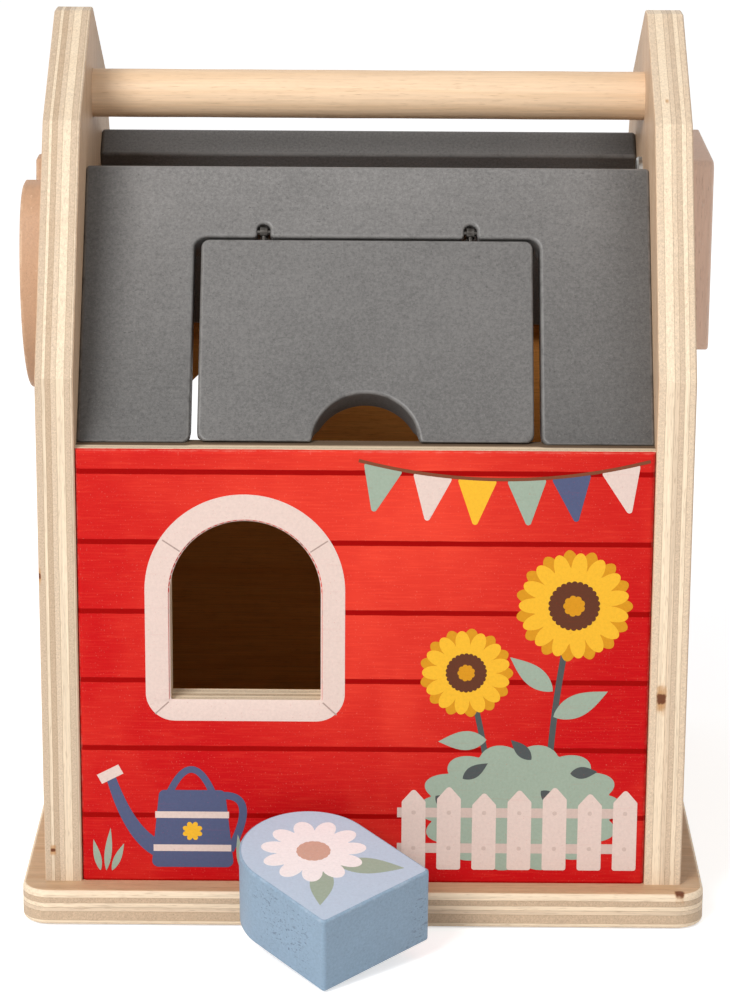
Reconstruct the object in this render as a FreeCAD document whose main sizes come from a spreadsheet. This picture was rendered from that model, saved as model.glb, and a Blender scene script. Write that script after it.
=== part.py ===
import FreeCAD, Part
import math
import os
import Sketcher
from FreeCAD import Rotation, Vector

# Farm shape sorter: a plywood barn on a base plate. Two gambrel side panels carry a dowel handle,
# a front and a back wall with sorting holes, and two roof panels with an open ridge between them.
# The front roof has a lift-up flap on two pinned eyes. A turning disc and a swing door hang on
# bolts on the outer faces of the side panels, and one arch block leans on the base plate.
# Millimetres and degrees; origin at the centre of the base plate's underside,
# +X to the right, -Y to the front, +Z up. A rise is a height above the base plate's top.

SIZES = {
    # base plate
    "base_thickness": 9.0,
    "base_overhang_side": 5.5,
    "base_overhang_front": 6.5,
    "base_corner_radius": 7.0,
    "base_edge_radius": 1.2,
    # gambrel side panels
    "inner_width": 137.0,
    "side_thickness": 9.0,
    "side_depth": 148.0,
    "eaves_above_wall": 17.0,
    "shoulder_above_eaves": 55.0,
    "shoulder_half_depth": 40.0,
    "peak_above_shoulder": 20.9,
    "peak_flat": 6.5,
    "side_edge_chamfer": 0.35,
    # front and back walls
    "wall_thickness": 9.0,
    "wall_rise": 109.0,
    "wall_recess": 0.6,
    "wall_edge_radius": 1.2,
    "hole_edge_chamfer": 0.4,
    "window_offset": 28.4,
    "window_below_top": 17.5,
    "round_hole_diameter": 37.0,
    "round_hole_offset": 34.0,
    "round_hole_below_top": 30.0,
    # arch block
    "block_width": 33.0,
    "block_length": 42.0,
    "block_thickness": 20.0,
    "block_edge_chamfer": 0.8,
    "block_yaw": 40.9,
    "block_offset": 13.0,
    "block_wall_gap": 0.9,
    "sorter_clearance": 1.5,
    "rest_clearance": 0.3,
    # roof panels
    "roof_thickness": 9.0,
    "roof_pitch": 54.0,
    "roof_length": 72.5,
    "roof_setback": 5.5,
    "roof_edge_chamfer": 0.5,
    # lift-up flap in the front roof
    "flap_width": 80.0,
    "flap_side_gap": 1.75,
    "flap_top_offset": 19.5,
    "flap_top_gap": 0.6,
    "flap_corner_radius": 2.0,
    "cutout_corner_radius": 3.0,
    "finger_notch_radius": 12.8,
    "finger_notch_rounding": 1.5,
    # hinge of the flap
    "hinge_spacing": 50.0,
    "hinge_depth": 1.4,
    "hinge_above_flap": 2.4,
    "hinge_slot_width": 3.2,
    "hinge_slot_clearance": 0.4,
    "hinge_pin_diameter": 1.2,
    "hinge_pin_length": 9.0,
    "eye_diameter": 2.8,
    "eye_width": 1.8,
    "eye_shank_diameter": 1.3,
    "eye_shank_length": 9.0,
    "running_clearance": 0.05,
    # handle bar
    "handle_diameter": 12.0,
    "handle_below_peak": 20.9,
    "handle_socket_depth": 6.0,
    "handle_end_play": 0.2,
    "handle_chamfer": 0.8,
    # dowels and screws
    "dowel_diameter": 5.0,
    "dowel_length": 18.0,
    "dowel_in_side": 6.0,
    "wall_dowel_above_base": 25.0,
    "wall_dowel_below_top": 24.0,
    "roof_dowel_below_ridge": 14.0,
    "roof_dowel_above_foot": 14.5,
    "screw_diameter": 3.5,
    "screw_head_diameter": 7.0,
    "screw_length": 26.0,
    "screw_recess": 0.4,
    "screw_clearance": 0.15,
    "side_screw_spacing": 100.0,
    # turning disc on the left side panel
    "disc_radius": 34.0,
    "disc_thickness": 6.0,
    "disc_below_handle": 40.5,
    "disc_flat_height": 21.2,
    "disc_notch_radius": 13.5,
    "disc_corner_radius": 13.0,
    "disc_notch_rounding": 1.0,
    # swing door on the right side panel
    "door_width": 47.0,
    "door_height": 47.5,
    "door_thickness": 6.0,
    "door_pivot_below_handle": 19.3,
    "door_pivot_drop": 7.2,
    "door_corner_radius": 2.5,
    "plate_edge_chamfer": 0.5,
    # bolts and washers of the disc and the door
    "bolt_diameter": 4.0,
    "bolt_head_diameter": 8.0,
    "bolt_head_height": 1.4,
    "bolt_head_chamfer": 0.5,
    "bolt_slot_width": 1.1,
    "bolt_slot_depth": 0.6,
    "bolt_grip": 4.0,
    "washer_diameter": 10.0,
    "washer_thickness": 1.0,
}

WORKED = {
    "inner_half": "Sizes.inner_width / 2",
    "outer_half": "inner_half + Sizes.side_thickness",
    "side_middle": "inner_half + Sizes.side_thickness / 2",
    "depth_half": "Sizes.side_depth / 2",
    "base_half_width": "outer_half + Sizes.base_overhang_side",
    "base_half_depth": "depth_half + Sizes.base_overhang_front",
    "eaves_height": "wall_top + Sizes.eaves_above_wall",
    "shoulder_height": "eaves_height + Sizes.shoulder_above_eaves",
    "peak_height": "shoulder_height + Sizes.peak_above_shoulder",
    "peak_flat_half": "Sizes.peak_flat / 2",
    "wall_face": "depth_half - Sizes.wall_recess",
    "wall_middle": "wall_face - Sizes.wall_thickness / 2",
    "wall_top": "Sizes.base_thickness + Sizes.wall_rise",
    "window_radius": "Sizes.block_width / 2 + Sizes.sorter_clearance",
    "window_spring": "wall_top - Sizes.window_below_top - window_radius",
    "window_sill": "wall_top - Sizes.window_below_top - Sizes.block_length - 2 * Sizes.sorter_clearance",
    "round_hole_centre": "wall_top - Sizes.round_hole_below_top",
    "block_half": "Sizes.block_width / 2",
    "block_straight": "Sizes.block_length - block_half",
    "block_lay": "Sizes.base_edge_radius + Sizes.rest_clearance",
    "block_overlap": "Sizes.base_overhang_front + Sizes.wall_recess - Sizes.base_edge_radius"
    " - Sizes.block_wall_gap",
    "block_arch_place": "block_overlap - block_half",
    "block_reach": "block_half * sin(Sizes.block_yaw * 1deg) + block_straight * cos(Sizes.block_yaw * 1deg)"
    " - block_arch_place",
    "block_pivot_place": "base_half_depth - Sizes.base_edge_radius",
    "block_pivot_height": "Sizes.base_thickness - Sizes.base_edge_radius",
    "block_lean": "asin(block_pivot_height / sqrt(block_reach ^ 2 + block_lay ^ 2)) / 1deg"
    " + atan(block_lay / block_reach) / 1deg",
    "pitch_sine": "sin(Sizes.roof_pitch * 1deg)",
    "pitch_cosine": "cos(Sizes.roof_pitch * 1deg)",
    "roof_half_thickness": "Sizes.roof_thickness / 2",
    "roof_foot": "wall_face - Sizes.roof_setback",
    "roof_inner_length": "Sizes.roof_length - Sizes.roof_thickness * pitch_cosine / pitch_sine",
    "ridge_place": "roof_foot - Sizes.roof_length * pitch_cosine",
    "ridge_height": "wall_top + Sizes.roof_length * pitch_sine",
    "roof_dowel_high": "Sizes.roof_dowel_below_ridge",
    "roof_dowel_low": "Sizes.roof_length - Sizes.roof_dowel_above_foot",
    "roof_dowel_high_place": "ridge_place + roof_dowel_high * pitch_cosine"
    " - roof_half_thickness * pitch_sine",
    "roof_dowel_high_height": "ridge_height - roof_dowel_high * pitch_sine"
    " - roof_half_thickness * pitch_cosine",
    "roof_dowel_low_place": "ridge_place + roof_dowel_low * pitch_cosine"
    " - roof_half_thickness * pitch_sine",
    "roof_dowel_low_height": "ridge_height - roof_dowel_low * pitch_sine"
    " - roof_half_thickness * pitch_cosine",
    "flap_half": "Sizes.flap_width / 2",
    "flap_foot": "Sizes.roof_length - Sizes.rest_clearance / pitch_sine",
    "flap_inner_foot": "roof_inner_length - Sizes.rest_clearance / pitch_sine",
    "finger_notch_diameter": "2 * Sizes.finger_notch_radius",
    "cutout_half": "flap_half + Sizes.flap_side_gap",
    "cutout_top": "Sizes.flap_top_offset - Sizes.flap_top_gap",
    "cutout_foot": "Sizes.roof_length + Sizes.roof_thickness",
    "hinge_half": "Sizes.hinge_spacing / 2",
    "hinge_line": "Sizes.flap_top_offset - Sizes.hinge_above_flap",
    "slot_radius": "Sizes.hinge_slot_width / 2",
    "slot_centre": "hinge_line - Sizes.eye_diameter / 2 - Sizes.hinge_slot_clearance + slot_radius",
    "eye_bore": "Sizes.hinge_pin_diameter + 2 * Sizes.running_clearance",
    "eye_shank_reach": "Sizes.hinge_above_flap + Sizes.eye_shank_length",
    "handle_height": "peak_height - Sizes.handle_below_peak",
    "handle_length": "Sizes.inner_width + 2 * Sizes.handle_socket_depth - 2 * Sizes.handle_end_play",
    "dowel_in_panel": "Sizes.dowel_length - Sizes.dowel_in_side",
    "dowel_left_start": "-inner_half - Sizes.dowel_in_side",
    "dowel_right_start": "inner_half - dowel_in_panel",
    "wall_dowel_low": "Sizes.base_thickness + Sizes.wall_dowel_above_base",
    "wall_dowel_high": "wall_top - Sizes.wall_dowel_below_top",
    "side_screw_place": "Sizes.side_screw_spacing / 2",
    "screw_head_height": "(Sizes.screw_head_diameter - Sizes.screw_diameter) / 2",
    "screw_head_top": "Sizes.screw_recess + screw_head_height",
    "screw_shank_length": "Sizes.screw_length - screw_head_height",
    "screw_hole": "Sizes.screw_diameter + 2 * Sizes.screw_clearance",
    "screw_mouth": "Sizes.screw_head_diameter + 2 * Sizes.screw_recess + 2 * Sizes.screw_clearance",
    "screw_pilot_depth": "Sizes.screw_recess + Sizes.screw_length - Sizes.base_thickness",
    "disc_height": "handle_height - Sizes.disc_below_handle",
    "door_pivot_height": "handle_height - Sizes.door_pivot_below_handle",
    "door_half": "Sizes.door_width / 2",
    "door_foot": "Sizes.door_height - Sizes.door_pivot_drop",
    "plate_inner_face": "outer_half + Sizes.washer_thickness",
    "bolt_hole": "Sizes.bolt_diameter + 2 * Sizes.running_clearance",
    "bolt_length": "Sizes.side_thickness + Sizes.washer_thickness + Sizes.bolt_grip",
    "bolt_head_face": "inner_half - Sizes.bolt_head_height",
    "bolt_slot_half": "Sizes.bolt_slot_width / 2",
    "bolt_slot_reach": "Sizes.bolt_head_diameter / 3",
}

# Two points nearer than this count as one when edges are picked.
TOUCH = 0.01

doc = FreeCAD.newDocument("farm_shape_sorter")
nodes = []


def fill_sheet(name, cells):
    """One sheet with a word, a cell and its alias per row."""
    sheet = doc.addObject("Spreadsheet::Sheet", name)
    for row, (alias, content) in enumerate(cells.items(), start=1):
        sheet.set("A%d" % row, alias)
        sheet.set("B%d" % row, content)
        sheet.setAlias("B%d" % row, alias)
    doc.recompute()
    return sheet


sizes = fill_sheet("Sizes", {alias: str(size) for alias, size in SIZES.items()})
worked = fill_sheet("Worked", {alias: "=" + formula for alias, formula in WORKED.items()})


def ref(name):
    """Expression for a signed alias of either sheet."""
    alias = name.lstrip("-")
    sheet = "Sizes." if alias in SIZES else "Worked."
    return name.replace(alias, sheet + alias)


def num(name):
    """Present value of a signed alias, zero for an empty one."""
    alias = name.lstrip("-")
    if not alias:
        return 0.0
    value = float(getattr(sizes if alias in SIZES else worked, alias))
    return -value if name.startswith("-") else value


def new_body(label):
    """Empty body that becomes one sub-part."""
    body = doc.addObject("PartDesign::Body", label)
    body.Label = label
    nodes.append(body)
    return body


def sketch_on(body, role, offset=""):
    """Sketch on one origin plane of the body, moved along the plane's normal by an alias."""
    plane = [item for item in body.Origin.OriginFeatures if item.Role == role][0]
    sketch = body.newObject("Sketcher::SketchObject", body.Name + "_sketch")
    sketch.AttachmentSupport = (plane, [""])
    sketch.MapMode = "FlatFace"
    if offset:
        sketch.setExpression("AttachmentOffset.Base.z", ref(offset))
    return sketch


def bind(sketch, kind, places, name):
    """Dimension of the sketch that follows an alias."""
    row = sketch.addConstraint(Sketcher.Constraint(kind, *places, num(name)))
    sketch.setExpression("Constraints[%d]" % row, ref(name))


def tie(sketch, kind, *places):
    """Geometric relation without a size."""
    sketch.addConstraint(Sketcher.Constraint(kind, *places))


def hold(sketch, geometry, point, across, up):
    """Ties one point to the sketch's origin by two signed aliases, empty for on the axis."""
    if across:
        bind(sketch, "DistanceX", (-1, 1, geometry, point), across)
    else:
        tie(sketch, "PointOnObject", geometry, point, -2)
    if up:
        bind(sketch, "DistanceY", (-1, 1, geometry, point), up)
    else:
        tie(sketch, "PointOnObject", geometry, point, -1)


def draw_polygon(sketch, corners):
    """Closed straight outline through corners that are pairs of signed aliases."""
    spots = [Vector(num(across), num(up), 0) for across, up in corners]
    lines = []
    for start, end in zip(spots, spots[1:] + spots[:1]):
        lines.append(sketch.addGeometry(Part.LineSegment(start, end), False))
    for line, following in zip(lines, lines[1:] + lines[:1]):
        tie(sketch, "Coincident", line, 2, following, 1)
    for line, (across, up) in zip(lines, corners):
        hold(sketch, line, 1, across, up)


def draw_circle(sketch, across, up, diameter):
    """Full circle about a point given by two signed aliases."""
    ring = Part.Circle(Vector(num(across), num(up), 0), Vector(0, 0, 1), num(diameter) / 2)
    circle = sketch.addGeometry(ring, False)
    hold(sketch, circle, 3, across, up)
    bind(sketch, "Diameter", (circle,), diameter)


def draw_arc(sketch, across, up, radius, start, end):
    """Arc about a held centre; its end points are left to the lines that meet it."""
    ring = Part.Circle(Vector(num(across), num(up), 0), Vector(0, 0, 1), num(radius))
    arc = sketch.addGeometry(Part.ArcOfCircle(ring, start, end), False)
    hold(sketch, arc, 3, across, up)
    bind(sketch, "Radius", (arc,), radius)
    return arc


def draw_line(sketch, start, end):
    """Loose line between two points."""
    return sketch.addGeometry(Part.LineSegment(Vector(*start, 0), Vector(*end, 0)), False)


def draw_arch(sketch, across, up, radius, foot):
    """Half circle about a centre, closed by two uprights and a level line at the foot."""
    middle, spring, reach, low = num(across), num(up), num(radius), num(foot)
    arc = draw_arc(sketch, across, up, radius, 0, math.pi)
    left = draw_line(sketch, (middle - reach, spring), (middle - reach, low))
    sill = draw_line(sketch, (middle - reach, low), (middle + reach, low))
    right = draw_line(sketch, (middle + reach, low), (middle + reach, spring))
    tie(sketch, "Coincident", arc, 2, left, 1)
    tie(sketch, "Coincident", left, 2, sill, 1)
    tie(sketch, "Coincident", sill, 2, right, 1)
    tie(sketch, "Coincident", right, 2, arc, 1)
    tie(sketch, "Horizontal", arc, 1, arc, 3)
    tie(sketch, "Horizontal", arc, 2, arc, 3)
    tie(sketch, "Vertical", left)
    tie(sketch, "Vertical", right)
    tie(sketch, "Horizontal", sill)
    bind(sketch, "DistanceY", (-1, 1, sill, 1), foot)


def draw_notched_disc(sketch, radius, flat, notch):
    """Circle about the origin, cut level at the flat's height with a half-round notch in the flat."""
    top, reach, bite = num(flat), num(radius), num(notch)
    half = math.sqrt(reach ** 2 - top ** 2)
    turn = math.asin(top / reach)
    rim = draw_arc(sketch, "", "", radius, math.pi - turn, 2 * math.pi + turn)
    dip = draw_arc(sketch, "", flat, notch, math.pi, 2 * math.pi)
    right = draw_line(sketch, (half, top), (bite, top))
    left = draw_line(sketch, (-bite, top), (-half, top))
    tie(sketch, "Coincident", rim, 2, right, 1)
    tie(sketch, "Coincident", right, 2, dip, 2)
    tie(sketch, "Coincident", dip, 1, left, 1)
    tie(sketch, "Coincident", left, 2, rim, 1)
    tie(sketch, "Horizontal", dip, 1, dip, 3)
    tie(sketch, "Horizontal", dip, 2, dip, 3)
    tie(sketch, "Horizontal", right)
    tie(sketch, "Horizontal", left)


def pad(body, sketch, length, symmetric=False, reverse=False):
    """Adds the sketch's outline along its normal."""
    feature = body.newObject("PartDesign::Pad", body.Name + "_pad")
    feature.Profile = sketch
    feature.SideType = "Symmetric" if symmetric else "One side"
    feature.Reversed = reverse
    feature.setExpression("Length", ref(length))
    doc.recompute()


def pocket(body, sketch, length="", symmetric=False, reverse=False):
    """Cuts the sketch's outline against its normal, through everything without a length."""
    before = body.Shape.Volume
    feature = body.newObject("PartDesign::Pocket", body.Name + "_pocket")
    feature.Profile = sketch
    feature.SideType = "Symmetric" if symmetric else "One side"
    feature.Reversed = reverse
    if length:
        feature.setExpression("Length", ref(length))
    else:
        feature.Type = "ThroughAll"
    doc.recompute()
    if body.Shape.Volume > before - TOUCH:
        raise RuntimeError(body.Label + ": a pocket cuts nothing")


def spots_along(edge, axis):
    """Coordinates of an edge's ends and middle along one axis."""
    points = [vertex.Point for vertex in edge.Vertexes] + [edge.CenterOfMass]
    return [getattr(point, axis) for point in points]


def lies_at(edge, axis, *places):
    """True for an edge that lies in one of the planes across an axis."""
    spots = spots_along(edge, axis)
    return any(all(abs(spot - place) < TOUCH for spot in spots) for place in places)


def spans(edge, axis, low, high):
    """True for an edge that runs from one plane across an axis to another."""
    spots = spots_along(edge, axis)
    return abs(min(spots) - low) < TOUCH and abs(max(spots) - high) < TOUCH


def hole_rims(body, axis, place):
    """Edges of the holes in the flat face that lies in a plane across an axis."""
    rims = []
    for face in body.Tip.Shape.Faces:
        if all(lies_at(edge, axis, place) for edge in face.Edges):
            for wire in face.Wires:
                if not wire.isSame(face.OuterWire):
                    rims += wire.Edges
    return rims


def soften(body, kind, size, wanted):
    """Fillet or chamfer on the tip's edges that pass the test."""
    tip = body.Tip
    names = ["Edge%d" % row for row, edge in enumerate(tip.Shape.Edges, start=1) if wanted(edge)]
    feature = body.newObject("PartDesign::" + kind, body.Name + "_" + kind.lower())
    feature.Base = (tip, names)
    feature.setExpression("Radius" if kind == "Fillet" else "Size", ref(size))
    doc.recompute()


def on_roof(item, front=True):
    """Lays an item from the roof's own frame on a roof slope: its origin is the ridge's outer corner."""
    item.Placement.Rotation = Rotation(Vector(1 if front else -1, 0, 0), 45)
    set_place(item, ("", "-ridge_place" if front else "ridge_place", "ridge_height"))
    item.setExpression("Placement.Rotation.Angle", ref("roof_pitch") + " * 1deg")


def set_place(item, place):
    """Binds an item's position to three signed aliases, empty for zero."""
    for letter, alias in zip("xyz", place):
        if alias:
            item.setExpression("Placement.Base." + letter, ref(alias))


def rod(name, diameter, length, place, axis=Vector(0, 0, 1)):
    """Round rod from a start point, three signed aliases, along an axis."""
    item = doc.addObject("Part::Cylinder", name)
    item.Placement.Rotation = Rotation(Vector(0, 0, 1), axis)
    item.setExpression("Radius", ref(diameter) + " / 2")
    item.setExpression("Height", ref(length))
    set_place(item, place)
    return item


def gather(label, items):
    """Group of separate alike solids under one label."""
    group = doc.addObject("Part::Compound", label)
    group.Links = items
    group.Label = label
    nodes.append(group)
    return group


def make_base_plate():
    """Rounded plate with countersunk screw holes from below."""
    body = new_body("base_plate")
    plan = sketch_on(body, "XY_Plane")
    draw_polygon(plan, [
        ("-base_half_width", "-base_half_depth"),
        ("base_half_width", "-base_half_depth"),
        ("base_half_width", "base_half_depth"),
        ("-base_half_width", "base_half_depth"),
    ])
    pad(body, plan, "base_thickness")
    top = num("base_thickness")
    soften(body, "Fillet", "base_corner_radius", lambda edge: spans(edge, "z", 0.0, top))
    soften(body, "Fillet", "base_edge_radius", lambda edge: lies_at(edge, "z", 0.0, top))
    spots = sketch_on(body, "XY_Plane")
    for across, along in screw_places():
        draw_circle(spots, across, along, "screw_hole")
    doc.recompute()
    hole = body.newObject("PartDesign::Hole", "base_plate_hole")
    hole.Profile = spots
    hole.Reversed = True
    hole.DepthType = "ThroughAll"
    hole.setExpression("Diameter", ref("screw_hole"))
    hole.HoleCutType = "Countersink"
    hole.HoleCutCountersinkAngle = 90
    hole.setExpression("HoleCutDiameter", ref("screw_mouth"))
    doc.recompute()


def screw_places():
    """Plan positions of the base screws: two under each side panel and one under each wall."""
    places = []
    for along in ("-", ""):
        places.append(("", along + "wall_middle"))
        for across in ("-", ""):
            places.append((across + "side_middle", along + "side_screw_place"))
    return places


def make_side_panel(label, right, pivot):
    """Gambrel panel with blind sockets on its inner face, a bolt hole and pilot holes from below."""
    body = new_body(label)
    side = "" if right else "-"
    outline = sketch_on(body, "YZ_Plane", side + "inner_half")
    draw_polygon(outline, [
        ("-depth_half", "base_thickness"),
        ("depth_half", "base_thickness"),
        ("depth_half", "eaves_height"),
        ("shoulder_half_depth", "shoulder_height"),
        ("peak_flat_half", "peak_height"),
        ("-peak_flat_half", "peak_height"),
        ("-shoulder_half_depth", "shoulder_height"),
        ("-depth_half", "eaves_height"),
    ])
    pad(body, outline, "side_thickness", reverse=not right)
    faces = (num(side + "inner_half"), num(side + "outer_half"))
    foot = num("base_thickness")
    soften(body, "Chamfer", "side_edge_chamfer",
           lambda edge: lies_at(edge, "x", *faces) and not lies_at(edge, "z", foot))
    socket = sketch_on(body, "YZ_Plane", side + "inner_half")
    draw_circle(socket, "", "handle_height", "handle_diameter")
    pocket(body, socket, "handle_socket_depth", reverse=right)
    seats = sketch_on(body, "YZ_Plane", side + "inner_half")
    for sign in ("-", ""):
        draw_circle(seats, sign + "wall_middle", "wall_dowel_low", "dowel_diameter")
        draw_circle(seats, sign + "wall_middle", "wall_dowel_high", "dowel_diameter")
        draw_circle(seats, sign + "roof_dowel_high_place", "roof_dowel_high_height", "dowel_diameter")
        draw_circle(seats, sign + "roof_dowel_low_place", "roof_dowel_low_height", "dowel_diameter")
    pocket(body, seats, "dowel_in_side", reverse=right)
    bore = sketch_on(body, "YZ_Plane", side + "inner_half")
    draw_circle(bore, "", pivot, "bolt_hole")
    pocket(body, bore, reverse=right)
    pilots = sketch_on(body, "XY_Plane", "base_thickness")
    draw_circle(pilots, side + "side_middle", "-side_screw_place", "screw_diameter")
    draw_circle(pilots, side + "side_middle", "side_screw_place", "screw_diameter")
    pocket(body, pilots, "screw_pilot_depth", reverse=True)


def make_wall(label, front):
    """Wall between the side panels: an arch window in the front one, a round hole in the back one."""
    body = new_body(label)
    sign = "-" if front else ""
    offset = "wall_face" if front else "-wall_face"
    face = sketch_on(body, "XZ_Plane", offset)
    draw_polygon(face, [
        ("-inner_half", "base_thickness"),
        ("inner_half", "base_thickness"),
        ("inner_half", "wall_top"),
        ("-inner_half", "wall_top"),
    ])
    pad(body, face, "wall_thickness", reverse=front)
    outer = num(sign + "wall_face")
    foot = num("base_thickness")
    soften(body, "Fillet", "wall_edge_radius",
           lambda edge: lies_at(edge, "y", outer) and not lies_at(edge, "z", foot))
    opening = sketch_on(body, "XZ_Plane", offset)
    if front:
        draw_arch(opening, "-window_offset", "window_spring", "window_radius", "window_sill")
    else:
        draw_circle(opening, "-round_hole_offset", "round_hole_centre", "round_hole_diameter")
    pocket(body, opening, symmetric=True)
    rims = hole_rims(body, "y", outer)
    soften(body, "Chamfer", "hole_edge_chamfer", lambda edge: any(edge.isSame(rim) for rim in rims))
    for end, inward in (("-inner_half", True), ("inner_half", False)):
        seats = sketch_on(body, "YZ_Plane", end)
        draw_circle(seats, sign + "wall_middle", "wall_dowel_low", "dowel_diameter")
        draw_circle(seats, sign + "wall_middle", "wall_dowel_high", "dowel_diameter")
        pocket(body, seats, "dowel_in_panel", reverse=inward)
    pilots = sketch_on(body, "XY_Plane", "base_thickness")
    draw_circle(pilots, "", sign + "wall_middle", "screw_diameter")
    pocket(body, pilots, "screw_pilot_depth", reverse=True)


def make_roof(label, front):
    """Sloping panel in the roof's own frame, square at the ridge and bevelled level at the foot."""
    body = new_body(label)
    down = "-" if front else ""
    section = sketch_on(body, "YZ_Plane")
    draw_polygon(section, [
        ("", ""),
        (down + "roof_length", ""),
        (down + "roof_inner_length", "-roof_thickness"),
        ("", "-roof_thickness"),
    ])
    pad(body, section, "inner_width", symmetric=True)
    ends = (num("-inner_half"), num("inner_half"))
    soften(body, "Chamfer", "roof_edge_chamfer",
           lambda edge: lies_at(edge, "y", 0.0) and spans(edge, "x", *ends))
    for end, inward in (("-inner_half", True), ("inner_half", False)):
        seats = sketch_on(body, "YZ_Plane", end)
        draw_circle(seats, down + "roof_dowel_high", "-roof_half_thickness", "dowel_diameter")
        draw_circle(seats, down + "roof_dowel_low", "-roof_half_thickness", "dowel_diameter")
        pocket(body, seats, "dowel_in_panel", reverse=inward)
    if front:
        cut_flap_opening(body)
    on_roof(body, front)


def cut_flap_opening(body):
    """Opening for the flap, open at the foot, with two hinge slots above it and pin holes across them."""
    opening = sketch_on(body, "XY_Plane")
    draw_polygon(opening, [
        ("-cutout_half", "-cutout_foot"),
        ("cutout_half", "-cutout_foot"),
        ("cutout_half", "-cutout_top"),
        ("-cutout_half", "-cutout_top"),
    ])
    pocket(body, opening, symmetric=True)
    sides = (num("-cutout_half"), num("cutout_half"))
    soften(body, "Fillet", "cutout_corner_radius",
           lambda edge: lies_at(edge, "x", *sides) and lies_at(edge, "y", num("-cutout_top")))
    soften(body, "Chamfer", "roof_edge_chamfer",
           lambda edge: lies_at(edge, "z", 0.0) and lies_at(edge, "y", num("-cutout_top")))
    for sign in ("-", ""):
        slot = sketch_on(body, "XY_Plane")
        draw_arch(slot, sign + "hinge_half", "-slot_centre", "slot_radius", "-flap_top_offset")
        pocket(body, slot, symmetric=True)
        pin_hole = sketch_on(body, "YZ_Plane", sign + "hinge_half")
        draw_circle(pin_hole, "-hinge_line", "-hinge_depth", "hinge_pin_diameter")
        pocket(body, pin_hole, "hinge_pin_length", symmetric=True)


def make_roof_flap():
    """Flap that fills the opening, bevelled at the foot, with a finger notch and two shank holes."""
    body = new_body("roof_flap")
    section = sketch_on(body, "YZ_Plane")
    draw_polygon(section, [
        ("-flap_top_offset", ""),
        ("-flap_foot", ""),
        ("-flap_inner_foot", "-roof_thickness"),
        ("-flap_top_offset", "-roof_thickness"),
    ])
    pad(body, section, "flap_width", symmetric=True)
    sides = (num("-flap_half"), num("flap_half"))
    under = num("-roof_thickness")
    soften(body, "Fillet", "flap_corner_radius",
           lambda edge: lies_at(edge, "x", *sides) and spans(edge, "z", under, 0.0))
    notch = sketch_on(body, "XY_Plane")
    draw_circle(notch, "", "-flap_foot", "finger_notch_diameter")
    pocket(body, notch, symmetric=True)
    bite = num("finger_notch_radius")
    soften(body, "Fillet", "finger_notch_rounding",
           lambda edge: abs(edge.CenterOfMass.x) < bite and spans(edge, "z", under, 0.0))
    soften(body, "Chamfer", "roof_edge_chamfer", lambda edge: lies_at(edge, "z", 0.0))
    holes = sketch_on(body, "XZ_Plane", "flap_top_offset")
    for sign in ("-", ""):
        draw_circle(holes, sign + "hinge_half", "-hinge_depth", "eye_shank_diameter")
    pocket(body, holes, "eye_shank_length", reverse=True)
    on_roof(body)


def make_hinge():
    """Two ring eyes whose shanks sit in the flap, and two pins that sit in the roof."""
    eyes = []
    pins = []
    down = Vector(0, -1, 0)
    sideways = Vector(1, 0, 0)
    for word, sign in (("left", "-"), ("right", "")):
        centre = sign + "hinge_half"
        spot = ("", "-hinge_line", "-hinge_depth")
        ring = rod(word + "_ring", "eye_diameter", "eye_width", spot, sideways)
        ring.setExpression("Placement.Base.x", ref(centre) + " - " + ref("eye_width") + " / 2")
        shank = rod(word + "_shank", "eye_shank_diameter", "eye_shank_reach", (centre,) + spot[1:], down)
        bore = rod(word + "_bore", "eye_bore", "hinge_pin_length", spot, sideways)
        bore.setExpression("Placement.Base.x", ref(centre) + " - " + ref("hinge_pin_length") + " / 2")
        stem = doc.addObject("Part::Fuse", word + "_stem")
        stem.Base = ring
        stem.Tool = shank
        eye = doc.addObject("Part::Cut", word + "_eye")
        eye.Base = stem
        eye.Tool = bore
        eyes.append(eye)
        pin = rod(word + "_pin", "hinge_pin_diameter", "hinge_pin_length", spot, sideways)
        pin.setExpression("Placement.Base.x", ref(centre) + " - " + ref("hinge_pin_length") + " / 2")
        pins.append(pin)
    on_roof(gather("hinge_eyes", eyes))
    on_roof(gather("hinge_pins", pins))


def make_handle_bar():
    """Round bar with chamfered ends in the sockets of both side panels."""
    body = new_body("handle_bar")
    section = sketch_on(body, "YZ_Plane")
    draw_circle(section, "", "", "handle_diameter")
    pad(body, section, "handle_length", symmetric=True)
    end = num("handle_length") / 2
    soften(body, "Chamfer", "handle_chamfer", lambda edge: lies_at(edge, "x", -end, end))
    set_place(body, ("", "", "handle_height"))


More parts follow.
